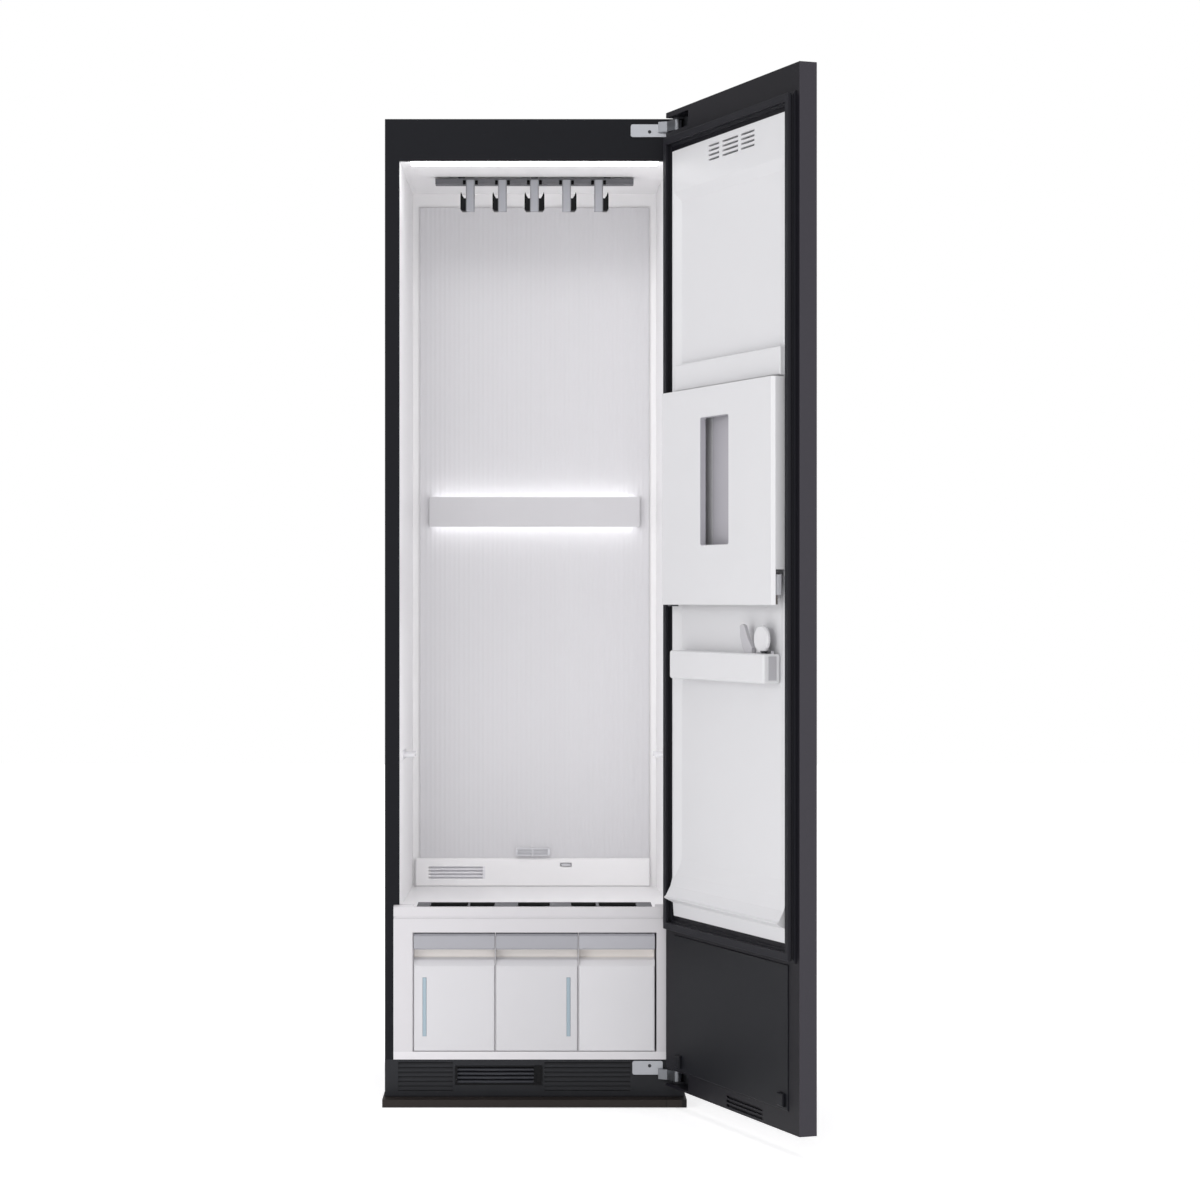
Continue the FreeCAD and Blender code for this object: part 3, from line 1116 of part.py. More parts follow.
size("panel_raise", 2, "how far the lower panel stands proud")
size("bumper_reach", 8, "how far the bumpers stand out")
panel = block(field_x, ("-panel_raise", "door_seat"), (low_panel_low, band_low))
panel = bevelled(panel, "1", lambda way, mid: mid.y < -1)
bumpers = []
for low, high in (("door_border + 13", "door_border + 35"),
                  (f"{door_width} - 80", f"{door_width} - door_border - 10")):
    bumper = block((low, high), ("-bumper_reach", "-panel_raise"),
                   (f"{low_panel_low} + 6", f"{low_panel_low} + 30"))
    bumpers.append(bevelled(bumper, "2", lambda way, mid: mid.y < -7))
door_piece("door_lower_panel", fuse(panel, *bumpers))

# ---------------------------------------------------------------- door gasket, a mitred bellows ring
size("gasket_in", 25, "gasket centre line from the door's side edges")
size("gasket_over", 22, "gasket centre line above the liner")
size("gasket_under", 21, "gasket centre line below the liner")
gasket_reach = "(door_gap - fit_gap)"


def gasket_ring():
    """The gasket's section carried round a rectangle, with a mitre at each corner."""
    reach = value(gasket_reach)
    half = [(7, 8), (3.5, 5.5), (5, 3.5), (11, 2), (11, 0)]
    head = [(-7, reach - 1), (-6, reach), (6, reach), (7, reach - 1)]
    section = [(-x, y) for x, y in reversed(half)] + head + half
    left = value("gasket_in")
    right = value(f"{door_width} - gasket_in")
    low = value(f"{liner_low} - gasket_under")
    high = value(f"{liner_high} + gasket_over")
    wires = []
    for across, out in section:
        ring = [FreeCAD.Vector(left + across, -out, low + across),
                FreeCAD.Vector(right - across, -out, low + across)]
        ring += [FreeCAD.Vector(right - across, -out, high - across),
                 FreeCAD.Vector(left + across, -out, high - across)]
        wires.append(ring)
    faces = []
    for i in range(len(wires)):
        first, second = wires[i], wires[(i + 1) % len(wires)]
        for j in range(4):
            k = (j + 1) % 4
            faces.append(Part.Face(Part.makePolygon([first[j], first[k], second[k], second[j], first[j]])))
    solid = Part.Solid(Part.Shell(faces))
    return solid if solid.Volume > 0 else solid.reversed()


gasket = doc.addObject("Part::Feature", "gasket")
gasket.Shape = gasket_ring()
door_piece("door_gasket", gasket)

# ---------------------------------------------------------------- trouser press on the door
cover_face = "(-liner_raise - bar_cover_thick)"
cover_x = ("door_border + rim_flat + rim_slope", f"{press_right} - 6")
cover = block(cover_x, (cover_face, "-liner_raise"), (cover_foot, cover_z))
cover = rounded(cover, "3", lambda way, mid: mid.y < value(cover_face) + 1)
foot_x = (cover_x[0], f"{door_width} - door_border - rim_flat - rim_slope")
cover_foot_block = block(foot_x, ("-liner_raise - 1", field_y), (f"{cover_foot} + 4", f"{cover_z} - 4"))
door_piece("trouser_bar_cover", fuse(cover, cover_foot_block))

wall_foot = "(-liner_raise - 0.5)"
section = [
    (press_left, f"6 - {press_front}"),
    (f"{press_left} + 6", f"-{press_front}"),
    (f"{press_right} - 6", f"-{press_front}"),
    (press_right, f"6 - {press_front}"),
    (press_right, wall_foot),
    (f"{press_right} - press_edge", wall_foot),
    (f"{press_right} - press_edge", f"press_thick - {press_front}"),
    (f"{press_left} + 2 * barrel", f"press_thick - {press_front}"),
    (f"{press_left} + 2 * barrel", f"-{hinge_out}"),
    (press_left, f"-{hinge_out}"),
]
plate = prism("Z", section, press_low, press_top)
tube = rod((hinge_in, f"-{hinge_out}"), "barrel", press_low, press_top)
window_x = (f"{press_left} + window_side_in", f"{press_right} - window_side_in")
window_y = (f"-{press_front} - 1", f"press_thick + 1 - {press_front}")
window = block(window_x, window_y, (f"{press_low} + window_rise", f"{press_top} - window_drop"))
window = rounded(window, "window_corner", lambda way, mid: way == "y")
notch = block((f"{press_right} - 12", f"{press_right} + 1"), (f"7 - {press_front}", "-liner_raise"),
              (f"{press_low} - 2", f"{press_low} + 64"))
pin_holes = []
for low, high in ((f"{press_low} - 1", f"{press_low} + press_pin_long + 2"),
                  (f"{press_top} - press_pin_long - 2", f"{press_top} + 1")):
    pin_holes.append(rod((hinge_in, f"-{hinge_out}"), "press_pin + spindle_gap", low, high))
door_piece("press_plate", cut(fuse(plate, tube), window, notch, group(*pin_holes)))

slope_in = "(door_border + rim_flat)"
ear_right = f"({press_left} + 15.5)"
ear_foot = f"(field_deep * ({ear_right} - {slope_in}) / rim_slope - liner_raise)"
ear = [
    (press_left, "-liner_raise"),
    (press_left, f"-{hinge_out} - 6"),
    (ear_right, f"-{hinge_out} - 6"),
    (ear_right, ear_foot),
    (slope_in, "-liner_raise"),
]
lower_ear = prism("Z", ear, f"{press_low} - 3", f"{press_low} - fit_gap", name="ear")
lower_pin = rod((hinge_in, f"-{hinge_out}"), "press_pin", f"{press_low} - 3", f"{press_low} + press_pin_long")
upper_ear = prism("Z", ear, f"{press_top} + fit_gap", f"{cover_foot} - fit_gap", name="ear")
upper_pin = rod((hinge_in, f"-{hinge_out}"), "press_pin", f"{press_top} - press_pin_long",
                f"{cover_foot} - fit_gap")
door_piece("press_hinge_pins", group(fuse(lower_ear, lower_pin), fuse(upper_ear, upper_pin)))

size("latch_high", 37, "height of the latch lever")
lever_y = (f"9 - {press_front}", f"21 - {press_front}")
lever = block((f"{press_right} - 8", f"{press_right} - 1"), lever_y,
              (f"{press_low} + 18", f"{press_low} + 18 + latch_high"))
lever = bevelled(lever, "3", lambda way, mid: way == "z")
knuckle = rod((f"{press_right} - 7", f"11 - {press_front}"), "2.5", f"{press_low} + 1",
              f"{press_low} + 64 - fit_gap")
door_piece("press_latch", fuse(lever, knuckle))

# ---------------------------------------------------------------- hem bar with its clip
size("hem_left", 98, "hem bar inside the door's hinge edge")
size("hem_in", 80, "hem bar inside the door's free edge")
size("hem_drop", 88.5, "top of the hem bar below the press plate")
size("hem_high", 54, "height of the hem bar")
size("hem_stand", 28, "front of the hem bar above the liner")
size("petal_in", 42, "centre of the clip's petal inside the bar's right end")
size("petal_half", 30, "half the width of the clip's petal")
size("petal_high", 26, "half the height of the clip's petal")
size("clip_back", 21.5, "clip's hinge barrel behind the hem bar's front")
size("petal_back", 14, "front of the petals behind the hem bar's front")
size("petal_thick", 6, "thickness of the petals")
size("clip_barrel", 2.5, "radius of the clip's hinge barrel")
size("clip_pin", 1.2, "radius of the clip's hinge pins")
hem_top = f"({press_low} - hem_drop)"
hem_low = f"({hem_top} - hem_high)"
hem_front = "(liner_raise + hem_stand)"
hem_right = f"({door_width} - hem_in)"
bar = block(("hem_left", hem_right), (f"-{hem_front}", field_y), (hem_low, hem_top))
bar = rounded(bar, "5", lambda way, mid: way == "x" or mid.x > value(hem_right) - 1)
fixed_petal = [("131", "50"), ("122", "53"), ("112", "51"), ("95", "26"), ("78", "10"), ("80", "-6"),
               ("104", "-6"), ("121", "12"), ("129", "30")]
outline = [(f"{hem_right} - {x}", f"{hem_top} + {z}") for x, z in fixed_petal]
petal_y = (f"petal_back - {hem_front}", f"petal_back + petal_thick - {hem_front}")
petal = prism("Y", outline, *petal_y)
clip_y = f"({hem_front} - clip_back)"
clip_z = f"({hem_top} + clip_barrel + 0.4)"
ears = []
for low, high in (("73", "69.6"), ("10.6", "7")):
    ear_x = (f"{hem_right} - {low}", f"{hem_right} - {high}")
    ears.append(block(ear_x, (f"-{clip_y} - 1.2", f"3 - {clip_y}"), (f"{hem_top} - 1", f"{clip_z} + 2")))
for low, high in (("72", "65"), ("15", "8")):
    ears.append(rod((f"-{clip_y}", clip_z), "clip_pin", f"{hem_right} - {low}", f"{hem_right} - {high}",
                    axis="X"))
door_piece("hem_bar", fuse(bar, petal, *ears))

outline = []
for corner in range(16):
    angle = math.radians(22.5 * corner + 11.25)
    across = f"{hem_right} - petal_in + {math.cos(angle):.6f} * petal_half"
    outline.append((across, f"{hem_top} + petal_high * (1 + {math.sin(angle):.6f})"))
petal = prism("Y", outline, *petal_y)
petal = bevelled(petal, "2.5", lambda way, mid: mid.y < value(petal_y[0]) + 0.5)
barrel = rod((f"-{clip_y}", clip_z), "clip_barrel", f"{hem_right} - 69", f"{hem_right} - 11", axis="X")
bores = []
for low, high in (("70", "64"), ("16", "10")):
    bores.append(rod((f"-{clip_y}", clip_z), "clip_pin + spindle_gap", f"{hem_right} - {low}",
                     f"{hem_right} - {high}", axis="X"))
door_piece("clip_lever", cut(fuse(petal, barrel), group(*bores)))

# ---------------------------------------------------------------- hinges
size("knuckle_radius", 8, "outer radius of a hinge knuckle")
size("hinge_pin", 4, "radius of the hinge pins")
size("hinge_plate", 3, "thickness of the hinge plates")
size("knuckle_gap", 5, "knuckle inside the pocket's ends")


def hinge_arm(pocket, plate_x, plate_z):
    """A plate on the front frame with an arm that reaches to the knuckle."""
    low = f"({pocket} + knuckle_gap)"
    high = f"({pocket} + pocket_high - knuckle_gap)"
    plate = rounded(block(plate_x, ("-hinge_plate", "0"), plate_z), "4", lambda way, mid: way == "y")
    outline = [
        (f"{pivot_x} - 37.2", "-hinge_plate"),
        (f"{pivot_x} - 16.2", "-hinge_plate"),
        (f"{pivot_x} + 5", f"{pivot_y} + 6"),
        (f"{pivot_x} - 5", f"{pivot_y} - 6"),
        (f"{pivot_x} - 20.2", "-door_gap"),
        (f"{pivot_x} - 37.2", "-hinge_plate - 5"),
    ]
    arm = prism("Z", outline, low, high)
    knuckle = rod((pivot_x, pivot_y), "knuckle_radius", low, high)
    bore = rod((pivot_x, pivot_y), "hinge_pin + spindle_gap", f"{low} - 1", f"{high} + 1")
    return cut(fuse(plate, arm, knuckle), bore)


def door_bracket(pocket):
    """A plate on the pocket's floor with two ears and the pin between them."""
    low = f"({pocket} + 0.5)"
    high = f"({pocket} + pocket_high - 0.5)"
    plate = block(("8", "pocket_long - 4"), ("pocket_deep - 2", "pocket_deep"), (low, high))
    ears = []
    lower_ear = (low, f"{pocket} + knuckle_gap - 0.5")
    upper_ear = (f"{pocket} + pocket_high - knuckle_gap + 0.5", high)
    for ear_low, ear_high in (lower_ear, upper_ear):
        outline = [("8", "pocket_deep"), ("30", "pocket_deep"), ("pivot_in + 8", "pivot_deep - 4")]
        outline += [("pivot_in - 5", "pivot_deep - 8"), ("8", "pivot_deep")]
        ears.append(prism("Z", outline, ear_low, ear_high))
    return fuse(plate, *ears, rod(("pivot_in", "pivot_deep"), "hinge_pin", low, high))


upper_arm = hinge_arm(upper_pocket, (f"{pivot_x} - 91.6", f"{pivot_x} - 17.2"),
                      (f"{upper_pocket} - 4", f"{upper_pocket} + 21"))
lower_arm = hinge_arm(lower_pocket, (f"{pivot_x} - 88.2", f"{pivot_x} - 28.2"),
                      (f"{lower_pocket} + 13", f"{lower_pocket} + 40"))
piece("hinge_arms", group(upper_arm, lower_arm))
door_piece("door_brackets", group(door_bracket(upper_pocket), door_bracket(lower_pocket)))

# ---------------------------------------------------------------- check and write
doc.recompute()
for item in doc.Objects:
    if "Invalid" in item.State or "Error" in item.State:
        raise RuntimeError(f"{item.Name} ({item.Label}) is {item.State}")
os.makedirs("parts", exist_ok=True)
for item in pieces:
    shape = item.Shape
    if shape.isNull() or not shape.isValid() or not shape.Solids:
        raise RuntimeError(f"{item.Label} has no valid shape")
for item in pieces:
    item.Shape.exportStep(f"parts/{item.Label}.step")
print(len(pieces), "pieces written")
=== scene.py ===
import math

import bmesh
import bpy
import numpy as np
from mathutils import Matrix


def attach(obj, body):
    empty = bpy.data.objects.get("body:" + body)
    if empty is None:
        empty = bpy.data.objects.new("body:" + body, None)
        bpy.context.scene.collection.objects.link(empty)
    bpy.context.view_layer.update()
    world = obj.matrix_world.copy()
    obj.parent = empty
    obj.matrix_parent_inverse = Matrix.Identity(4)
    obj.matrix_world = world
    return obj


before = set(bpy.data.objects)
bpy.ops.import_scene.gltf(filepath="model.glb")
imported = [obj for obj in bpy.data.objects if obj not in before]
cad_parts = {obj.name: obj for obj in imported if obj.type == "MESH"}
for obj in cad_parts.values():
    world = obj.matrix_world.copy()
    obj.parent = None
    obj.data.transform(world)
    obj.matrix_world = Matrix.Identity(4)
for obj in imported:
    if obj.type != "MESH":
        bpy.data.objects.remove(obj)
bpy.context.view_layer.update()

# ---------------------------------------------------------------- studio
# A plain white sweep under soft boxes: one far left for the door's inner side, one far right for the door's
# free edge, one high in front, and an even overhead light. The camera stands 5.8 m in front of the frame, at
# half the cabinet's height, with a long lens.

CAMERA_BACK = 5.806
CAMERA_HEIGHT = 0.999
LENS = 87.9
CENTRE_SHIFT = 0.0546


def paint(code):
    """An sRGB hex colour as linear RGBA: each channel c becomes c / 12.92 up to 0.04045, and
    ((c + 0.055) / 1.055)^2.4 above."""
    channels = [int(code[i:i + 2], 16) / 255 for i in (1, 3, 5)]
    linear = [c / 12.92 if c <= 0.04045 else ((c + 0.055) / 1.055) ** 2.4 for c in channels]
    return (*linear, 1)


def add(tree, kind, settings=None, **links):
    """Add one node. Settings name its properties or its inputs, and links name inputs with the outputs that
    feed them, as _0 where an input goes by its number."""
    made = tree.nodes.new(kind)
    for name, value in (settings or {}).items():
        if isinstance(name, int) or name in made.inputs:
            made.inputs[name].default_value = value
        else:
            setattr(made, name, value)
    for name, source in links.items():
        slot = made.inputs[int(name[1:])] if name[0] == "_" else made.inputs[name.replace("_", " ")]
        tree.links.new(source, slot)
    return made


def sheets(name, points, ring=False, caps=False):
    """One mesh from like sheets, an array of sheets by rows by columns by 3, with a face in each cell.
    A ring joins the last column to the first, and caps close the first and last rows."""
    count, rows, columns = points.shape[:3]
    index = np.arange(count * rows * columns).reshape(count, rows, columns)
    loop = np.concatenate([index, index[:, :, :1]], axis=2) if ring else index
    corners = [loop[:, :-1, :-1], loop[:, :-1, 1:], loop[:, 1:, 1:], loop[:, 1:, :-1]]
    faces = np.stack(corners, axis=-1).reshape(-1, 4).tolist()
    if caps:
        faces += index[:, 0].tolist() + index[:, -1].tolist()
    mesh = bpy.data.meshes.new(name)
    mesh.from_pydata(points.reshape(-1, 3).tolist(), [], faces)
    shape = bmesh.new()
    shape.from_mesh(mesh)
    bmesh.ops.recalc_face_normals(shape, faces=shape.faces)
    shape.to_mesh(mesh)
    shape.free()
    made = bpy.data.objects.new(name, mesh)
    bpy.context.collection.objects.link(made)
    return made


camera_data = bpy.data.cameras.new("camera")
camera_data.lens = LENS
camera_data.sensor_width = 36
camera_data.shift_x = CENTRE_SHIFT
camera_data.clip_end = 50
camera = bpy.data.objects.new("camera", camera_data)
camera.location = (0, -CAMERA_BACK, CAMERA_HEIGHT)
camera.rotation_euler = (math.radians(90), 0, 0)
bpy.context.collection.objects.link(camera)
bpy.context.scene.camera = camera

across, along = np.meshgrid(np.linspace(-12, 12, 3), np.linspace(-9, 12, 3))
floor = sheets("studio_floor", np.stack([across, along, 0 * across - 0.0005], axis=-1)[None])
# Matt paper with a fibre of about 1.1 mm, lit a little from within, so that it meets the background
# without an edge.
floor_paint = bpy.data.materials.new("white_studio_paper")
floor_paint.use_nodes = True
tree = floor_paint.node_tree
shader = tree.nodes["Principled BSDF"]
shader.inputs["Roughness"].default_value = 0.9
shader.inputs["Emission Color"].default_value = paint("#FFFFFF")
shader.inputs["Emission Strength"].default_value = 0.42
grain = add(tree, "ShaderNodeTexNoise", {"Scale": 900.0, "Detail": 2.0})
mix = add(tree, "ShaderNodeMix", {"data_type": "RGBA"}, Factor=grain.outputs["Fac"])
mix.inputs[6].default_value = paint("#FAFAFA")
mix.inputs[7].default_value = paint("#F6F6F6")
tree.links.new(mix.outputs[2], shader.inputs["Base Color"])
floor.data.materials.append(floor_paint)

world = bpy.data.worlds.new("studio")
bpy.context.scene.world = world
world.use_nodes = True
sky = world.node_tree
white = sky.nodes["Background"]
white.inputs["Color"].default_value = paint("#FFFFFF")
white.inputs["Strength"].default_value = 1
dim = add(sky, "ShaderNodeBackground", {"Color": paint("#FBFAFC"), "Strength": 0.6})
seen = add(sky, "ShaderNodeLightPath").outputs["Is Camera Ray"]
both = add(sky, "ShaderNodeMixShader", None, _0=seen, _1=dim.outputs[0], _2=white.outputs[0])
sky.links.new(both.outputs[0], sky.nodes["World Output"].inputs["Surface"])
bpy.context.scene.view_settings.view_transform = "Standard"


def soft_box(name, place, aim, width, height, power):
    """One rectangular studio light at a place, turned to face the aim point."""
    data = bpy.data.lights.new(name, "AREA")
    data.shape = "RECTANGLE"
    data.size = width
    data.size_y = height
    data.energy = power
    lamp = bpy.data.objects.new(name, data)
    lamp.location = place
    toward = np.array(aim, float) - np.array(place, float)
    yaw = math.atan2(toward[1], toward[0]) - math.pi / 2
    pitch = math.atan2(toward[2], math.hypot(toward[0], toward[1]))
    lamp.rotation_euler = (pitch + math.pi / 2, 0, yaw)
    lamp.visible_camera = False
    bpy.context.collection.objects.link(lamp)


soft_box("left_box", (-4.6, -4.4, 2.6), (0.3, -0.2, 1.0), 2.6, 2.4, 80)
soft_box("right_box", (4.7, -4.5, 1.15), (0.45, -0.55, 1.0), 1.4, 2.4, 60)
soft_box("front_box", (-0.6, -7.2, 4.6), (0.0, 0.2, 0.9), 3.0, 1.6, 72)
overhead = bpy.data.lights.new("overhead", "SUN")
overhead.energy = 1.0
overhead.angle = math.radians(60)
bpy.context.collection.objects.link(bpy.data.objects.new("overhead", overhead))

# ---------------------------------------------------------------- steel wrapper
# The sides and the top are folded sheet steel with a near-black powder coat. The rear cover, the base tray,
# the frame that carries the hanger rail and the steam generator's case are bare galvanised sheet.
# Cross-head screws hold the rear cover along its sides and its top.

REAR_SCREW_IN = 0.2885
REAR_SCREW_FACE = 0.5465
REAR_SCREW_HEIGHTS = np.linspace(0.07, 1.92, 8)
TOP_SCREW_HEIGHT = 1.943
TOP_SCREWS_ACROSS = (-0.2, -0.07, 0.07, 0.2)
SHEET_SCREW = 0.0042


def dress(material, *names):
    """Give CAD nodes one finish in all their slots."""
    for name in names:
        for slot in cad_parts[name].material_slots:
            slot.material = material


def moulded(name, colour, shade, roughness, grain_mm, bump, shine=0.5):
    """A paint or plastic whose tone drifts between two colours over some 300 mm. A fine skin of the given
    grain size gives the relief, and moves the roughness by 0.04 each way. Mould skins have a grain of 0.2 to
    0.4 mm, and are drawn two to four times as coarse, so that they show."""
    made = bpy.data.materials.new(name)
    made.use_nodes = True
    tree = made.node_tree
    shader = tree.nodes["Principled BSDF"]
    where = add(tree, "ShaderNodeTexCoord").outputs["Object"]
    cloud = add(tree, "ShaderNodeTexNoise", {"Scale": 3.0, "Detail": 3.0}, Vector=where)
    tone = add(tree, "ShaderNodeMix", {"data_type": "RGBA"}, Factor=cloud.outputs["Fac"])
    tone.inputs[6].default_value = paint(colour)
    tone.inputs[7].default_value = paint(shade)
    tree.links.new(tone.outputs[2], shader.inputs["Base Color"])
    grain = {"Scale": 1000 / grain_mm, "Detail": 2.0}
    skin = add(tree, "ShaderNodeTexNoise", grain, Vector=where).outputs["Fac"]
    gloss = add(tree, "ShaderNodeMapRange", {3: roughness - 0.04, 4: roughness + 0.04}, Value=skin)
    tree.links.new(gloss.outputs["Result"], shader.inputs["Roughness"])
    relief = add(tree, "ShaderNodeBump", {"Strength": bump, "Distance": 0.0002}, Height=skin)
    tree.links.new(relief.outputs["Normal"], shader.inputs["Normal"])
    shader.inputs["Specular IOR Level"].default_value = shine
    return made


# Powder coat: satin near-black with an orange peel of 1.2 mm, so that the sides show only a soft, broken
# sheen.
powder_coat = moulded("powder_coated_steel", "#101116", "#121318", roughness=0.42, grain_mm=1.2, bump=0.35,
                      shine=0.15)
dress(powder_coat, "left_side_panel", "right_side_panel", "top_cover")


def metal(name, colour, shade, roughness, grain_mm, squeeze, spangle=False):
    """A bare metal with the fine grain of its plating, or zinc spangle in cells. Tone, relief and gloss
    follow the grain. Squeezed along an axis, it becomes lines that run across that axis. Such grain is finer
    than 0.3 mm, and is drawn at 0.8 to 2 mm, so that it shows."""
    made = bpy.data.materials.new(name)
    made.use_nodes = True
    tree = made.node_tree
    shader = tree.nodes["Principled BSDF"]
    where = add(tree, "ShaderNodeTexCoord").outputs["Object"]
    drawn = add(tree, "ShaderNodeMapping", {"Scale": squeeze}, Vector=where).outputs[0]
    if spangle:
        cells = {"Scale": 1000 / grain_mm}
        brush = add(tree, "ShaderNodeTexVoronoi", cells, Vector=drawn).outputs["Color"]
    else:
        noise = {"Scale": 1000 / grain_mm, "Detail": 3.0}
        brush = add(tree, "ShaderNodeTexNoise", noise, Vector=drawn).outputs["Fac"]
    tone = add(tree, "ShaderNodeMix", {"data_type": "RGBA"}, Factor=brush)
    tone.inputs[6].default_value = paint(colour)
    tone.inputs[7].default_value = paint(shade)
    tree.links.new(tone.outputs[2], shader.inputs["Base Color"])
    gloss = add(tree, "ShaderNodeMapRange", {3: roughness - 0.06, 4: roughness + 0.06}, Value=brush)
    tree.links.new(gloss.outputs["Result"], shader.inputs["Roughness"])
    relief = add(tree, "ShaderNodeBump", {"Strength": 0.15, "Distance": 0.0001}, Height=brush)
    tree.links.new(relief.outputs["Normal"], shader.inputs["Normal"])
    shader.inputs["Metallic"].default_value = 1
    return made


# Hot-dipped sheet: pale grey zinc in crystals 14 mm across, each of which takes the light differently.
galvanised = metal("galvanised_sheet", "#B4B8BA", "#9DA2A5", roughness=0.42, grain_mm=14.0, squeeze=(1, 1, 1),
                   spangle=True)
dress(galvanised, "rear_cover", "base_tray", "rail_guide_frame", "steam_generator")


def screw_heads(name, places, out, radius):
    """Cross-head screws as one mesh. Over rings of radius r each head of radius R stands
    0.4 R (1 - (r / R)^4)^(1/2), less a well 0.3 R deep where r is under 0.63 R and the smaller of |x| and |y|
    under R / 5, which cuts the cross. The rim goes 0.1 R below the sheet's face."""
    out = np.array(out, float)
    side = np.cross(out, (0.0, 0.0, 1.0))
    up = np.cross(side, out)
    share = np.array([1.0, 1.0, 0.94, 0.82, 0.66, 0.6, 0.45, 0.3, 0.16])[:, None]
    angle = np.radians(np.arange(24) * 15.0)
    x, y = share * np.cos(angle), share * np.sin(angle)
    well = (np.minimum(abs(x), abs(y)) < 0.2) & (share < 0.63)
    height = 0.4 * np.sqrt(1 - share ** 4) - 0.3 * well
    height[0] -= 0.1
    head = radius * (x[..., None] * side + y[..., None] * up + height[..., None] * out)
    return sheets(name, np.array(places, float)[:, None, None, :] + head, ring=True, caps=True)


rows = [(side * REAR_SCREW_IN, REAR_SCREW_FACE, high) for side in (-1, 1) for high in REAR_SCREW_HEIGHTS]
rows += [(across, REAR_SCREW_FACE, TOP_SCREW_HEIGHT) for across in TOP_SCREWS_ACROSS]
rear_screws = screw_heads("rear_cover_screws", rows, (0, 1, 0), SHEET_SCREW)
# Zinc-plated screws: small, brighter points along the edge of the sheet.
screw_zinc = metal("zinc_plated_screws", "#B9BCBE", "#A4A7AA", roughness=0.34, grain_mm=1.5,
                   squeeze=(1, 1, 1))
rear_screws.data.materials.append(screw_zinc)
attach(rear_screws, "cabinet")

# ---------------------------------------------------------------- plinth, feet and base grille
# The plinth strip is a moulding with a butt joint near its right end, a black end cap and a flange along its
# top. The grille behind it has raked louvres over dust screens, and a pull-out filter with paler slats in its
# middle. The feet screw up into the base tray.

PLINTH_JOINT = 0.2598
PLINTH_JOINT_HALF = 0.0008
PLINTH_CAP = 0.2903
PLINTH_END = 0.31
# Low and high corners.
FLANGE = ((-0.297, -0.0375, 0.0126), (0.297, 0.012, 0.0148))
LEFT_SCREEN = ((-0.29, 0.0104, 0.018), (-0.159, 0.0116, 0.086))
RIGHT_SCREEN = ((0.017, 0.0104, 0.018), (0.192, 0.0116, 0.086))
# Where the slats lie in depth and in height.
FILTER_SLATS = ((0.0035, 0.0145), (0.0405, 0.0735))


def band(tree, axis, low, high):
    """1 where the object's own X, Y or Z lies between two values in metres, else 0."""
    where = add(tree, "ShaderNodeTexCoord").outputs["Object"]
    parts = add(tree, "ShaderNodeSeparateXYZ", None, Vector=where)
    above = add(tree, "ShaderNodeMath", {"operation": "GREATER_THAN", 1: low}, _0=parts.outputs[axis])
    below = add(tree, "ShaderNodeMath", {"operation": "LESS_THAN", 1: high}, _0=parts.outputs[axis])
    inside = add(tree, "ShaderNodeMath", {"operation": "MULTIPLY"}, _0=above.outputs[0], _1=below.outputs[0])
    return inside.outputs[0]


def tint(material, colour, *masks):
    """Lay a second colour over a finish where every mask is 1."""
    tree = material.node_tree
    slot = tree.nodes["Principled BSDF"].inputs["Base Color"]
    mask = masks[0]
    for other in masks[1:]:
        mask = add(tree, "ShaderNodeMath", {"operation": "MULTIPLY"}, _0=mask, _1=other).outputs[0]
    over = add(tree, "ShaderNodeMix", {"data_type": "RGBA"}, _0=mask, _6=slot.links[0].from_socket)
    over.inputs[7].default_value = paint(colour)
    tree.links.new(over.outputs[2], slot)


def rounded_blocks(name, boxes, radius, origin=(0, 0, 0), axes=((1, 0, 0), (0, 1, 0), (0, 0, 1))):
    """Rounded blocks as one mesh, each from a low and a high corner. A unit sphere's grid n goes to
    centre + sign(n) (half size - radius) + radius n, which pulls the sphere apart. Axes turn it, and origin
    places it."""
    low, high = np.swapaxes(np.array(boxes, float), 0, 1)[:, :, None, None, :]
    tilt = np.radians(np.linspace(-84, 84, 8))[:, None]
    turn = np.radians(np.arange(16) * 22.5 + 11.25)
    level = np.cos(tilt)
    ball = np.stack([level * np.cos(turn), level * np.sin(turn), np.sin(tilt) + 0 * turn], axis=-1)
    block = (low + high) / 2 + np.sign(ball) * ((high - low) / 2 - radius) + radius * ball
    return sheets(name, block @ np.array(axes, float) + np.array(origin, float), ring=True, caps=True)


def even_ribs(material, pull):
    """Soften the shading of fine ribs, as light spread inside thin plastic does: each normal n becomes the
    unit vector along n + pull times the front."""
    tree = material.node_tree
    faces = add(tree, "ShaderNodeNewGeometry").outputs["Normal"]
    leant = add(tree, "ShaderNodeVectorMath", {"operation": "ADD", 1: (0, -pull, 0)}, _0=faces)
    unit = add(tree, "ShaderNodeVectorMath", {"operation": "NORMALIZE"}, _0=leant.outputs[0])
    tree.links.new(unit.outputs[0], tree.nodes["Bump"].inputs["Normal"])


# Moulded ABS with a brown cast: matt and warmer than the cabinet, with a black line at the joint and a black
# cap.
plinth_abs = moulded("brown_black_abs", "#2A2523", "#241F1D", roughness=0.5, grain_mm=0.8, bump=0.3,
                     shine=0.2)
joint = band(plinth_abs.node_tree, "X", PLINTH_JOINT - PLINTH_JOINT_HALF, PLINTH_JOINT + PLINTH_JOINT_HALF)
tint(plinth_abs, "#0C0B0B", joint)
tint(plinth_abs, "#121213", band(plinth_abs.node_tree, "X", PLINTH_CAP, PLINTH_END))
dress(plinth_abs, "floor_plinth")
flange = rounded_blocks("plinth_top_flange", [FLANGE], radius=0.0008)
flange.data.materials.append(plinth_abs)
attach(flange, "cabinet")

